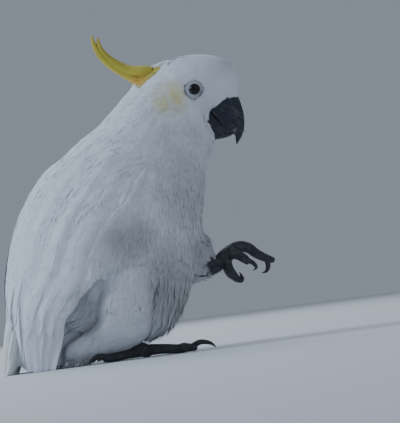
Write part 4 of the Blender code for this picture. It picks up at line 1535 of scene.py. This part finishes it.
def crestForm(line):
    line = np.array(line, float)
    heading = unit(np.gradient(line[:, :2], axis=0))
    across = np.stack([heading[:, 1], -heading[:, 0]], axis=-1) * line[:, 2:3]
    upper = line[:, :2] + across
    lower = line[:, :2] - across
    flare = [1.7, 1.6, 1.25] + [1.05] * (len(line) - 3)
    return [(*a, *b, w * more, 0) for a, b, w, more in zip(upper, lower, line[:, 2], flare)]


def crestMaterial():
    material, tree, shader = newMaterial(
        "crestPlumes", Roughness=0.65, Sheen_Weight=0.2, Specular_IOR_Level=0.25
    )
    streak = vaneStreaks(tree, (9.0, 1.2, 1.0))
    tone = addNode(tree, "ShaderNodeAttribute", attribute_name="tone").outputs["Fac"]
    root = blobMask(tree, objectPlace(tree), (70, 0, 300), (24, 30, 15), 0.2)
    color = mixColors(tree, rampNode(tree, streak, 0.3, 0.7), crestValues["yellow"], crestValues["shade"])
    color = mixColors(tree, mathNode(tree, "MULTIPLY", root, 0.8), color, crestValues["root"])
    bright = mathNode(tree, "MULTIPLY_ADD", tone, 0.3, 0.85)
    color = addNode(tree, "ShaderNodeHueSaturation", {"Color": color, "Value": bright}).outputs[0]
    finishWith(tree, shader, color, streak, 0.5, 0.0006)
    return material


def shrunk(form, share):
    # the same form drawn in about its own middle line
    form = np.array(form, float)
    middle = (form[:, 0:2] + form[:, 2:4]) / 2
    form[:, 0:2] = middle + (form[:, 0:2] - middle) * share
    form[:, 2:4] = middle + (form[:, 2:4] - middle) * share
    form[:, 4] *= share
    return form.tolist()


def crestPlumes(name, node, line, first, yellow):
    form = crestForm(line)
    last = len(line) - 1
    plumes = []
    for n in range(crestValues["plumes"]):
        turn = 2 * math.pi * (n + rng.uniform(-0.2, 0.2)) / crestValues["plumes"]
        end = max(last - (n * 7 % 10) / 10 * 2.3 - rng.uniform(0, 0.2), 2.6)
        plumes.append((first, turn, end, turn + rng.uniform(-0.15, 0.15), 3.0, -1.0 + 0.1 * (n % 3), 0.55))
    for turn in (0.0, 2.1, 4.2):
        plumes.append((first + 1, turn, last, turn, 2.4, -0.9, 0.2))
    vaneRow(name, form, plumes, rows=24, camber=0.30, material=yellow, replaced=[node])
    core = shrunk(form, crestValues["core"])
    shape = wrapped(20, 60, lambda along, turn: formPoints(core, along * (last - 0.25), turn))
    body = piece(name + "Core", shape, yellow).data
    body.uv_layers.new(name="vane")
    for loop, spot in zip(body.loops, body.uv_layers["vane"].data):
        place = body.vertices[loop.vertex_index].co
        spot.uv = (math.atan2(place.y / mm, 4) * 3, place.x * 20)


def whitePlumes():
    # the white plumes of the brow that lie over the yellow crest's root
    plumes = []
    for turn in spread(-0.85, 0.85, crestValues["whiteAcross"]):
        for layer, reach in enumerate(crestValues["whiteEnds"]):
            end = reach + rng.uniform(-0.4, 0.4) - abs(turn) * 0.9
            root = rng.uniform(0.0, 0.6)
            rise = rng.uniform(3.4, 4.0)
            start = turn + rng.uniform(-0.06, 0.06)
            plumes.append((root, start, end, turn * 0.75, 1.15, 0.2 * layer - 3.9, rise))
    vaneRow(
        "frontCrest",
        frontCrestForm,
        plumes,
        rows=10,
        columns=4,
        camber=0.3,
        material=coatMaterial,
        narrow=0.12,
        soft=0.5,
    )


def makeCrest():
    yellow = crestMaterial()
    crestPlumes("crestUpper", "crest_upper", crestUpperLine, 0.6, yellow)
    crestPlumes("crestLower", "crest_lower", crestLowerLine, 0.5, yellow)
    saddle = crestValues["saddle"]
    for sideName, start, end in (("right", 2 * math.pi - saddle, 2 * math.pi), ("left", 0.0, saddle)):
        plan = dict(crestRootPlan, start=start, end=end)
        layCoat("crestRoot_" + sideName, bodyForm, plan, softVane, material=yellow)
    whitePlumes()


makeCrest()
print("crest is made")


stageValues = {
    "floor": (0.72, 0.73, 0.75, 1),
    "floorSize": 4.0,
    "room": (0.74, 0.84, 1.0, 1),
    "roomStrength": 0.32,
}
# name, place and size in metres, power and colour
lights = [
    ("keyLight", (-2.1, -0.3, 1.7), 1.6, 50, (0.72, 0.85, 1.0)),
    ("fillLight", (1.6, -1.8, 1.1), 2.2, 5, (0.96, 0.97, 1.0)),
    ("backLight", (-0.6, 2.0, 1.8), 2.0, 26, (0.82, 0.91, 1.0)),
]


def makeStage():
    floorMaterial, _, _ = newMaterial("paleFloor", Roughness=0.9, Base_Color=stageValues["floor"])
    shape = bmesh.new()
    bmesh.ops.create_grid(shape, x_segments=1, y_segments=1, size=stageValues["floorSize"])
    floorMesh = bpy.data.meshes.new("floor")
    shape.to_mesh(floorMesh)
    shape.free()
    floorMesh.materials.append(floorMaterial)
    made = [bpy.data.objects.new("floor", floorMesh)]
    for name, place, size, power, color in lights:
        lamp = bpy.data.lights.new(name, "AREA")
        lamp.size = size
        lamp.energy = power
        lamp.color = color
        item = bpy.data.objects.new(name, lamp)
        item.location = place
        item.rotation_euler = (Vector((0, 0, 0.17)) - Vector(place)).to_track_quat("-Z", "Y").to_euler()
        made.append(item)
    for item in made:
        bpy.context.scene.collection.objects.link(item)
    world = bpy.data.worlds.new("softRoom")
    world.use_nodes = True
    background = world.node_tree.nodes["Background"]
    background.inputs["Color"].default_value = stageValues["room"]
    background.inputs["Strength"].default_value = stageValues["roomStrength"]
    bpy.context.scene.world = world


# metres and degrees; the lens shows a field of this width at the camera's distance
cameraValues = {"target": (119.7, 0, 150.9), "distance": 2.2, "height": 0.055, "field": 0.4653, "roll": 7.52}


def makeCamera():
    target = placed(*cameraValues["target"])
    place = Vector((target.x, -cameraValues["distance"], cameraValues["height"]))
    data = bpy.data.cameras.new("camera")
    data.sensor_width = 36
    data.lens = data.sensor_width / cameraValues["field"] * cameraValues["distance"]
    camera = bpy.data.objects.new("camera", data)
    bpy.context.scene.collection.objects.link(camera)
    forward = (target - place).normalized()
    roll = math.radians(cameraValues["roll"])
    right = Vector((math.cos(roll), 0, -math.sin(roll)))
    right = (right - forward * right.dot(forward)).normalized()
    turned = camera.matrix_world.to_3x3()
    turned.col[0] = right
    turned.col[1] = right.cross(forward)
    turned.col[2] = -forward
    camera.matrix_world = turned.to_4x4()
    camera.location = place
    bpy.context.scene.camera = camera


makeStage()
makeCamera()
print("stage and camera are set")
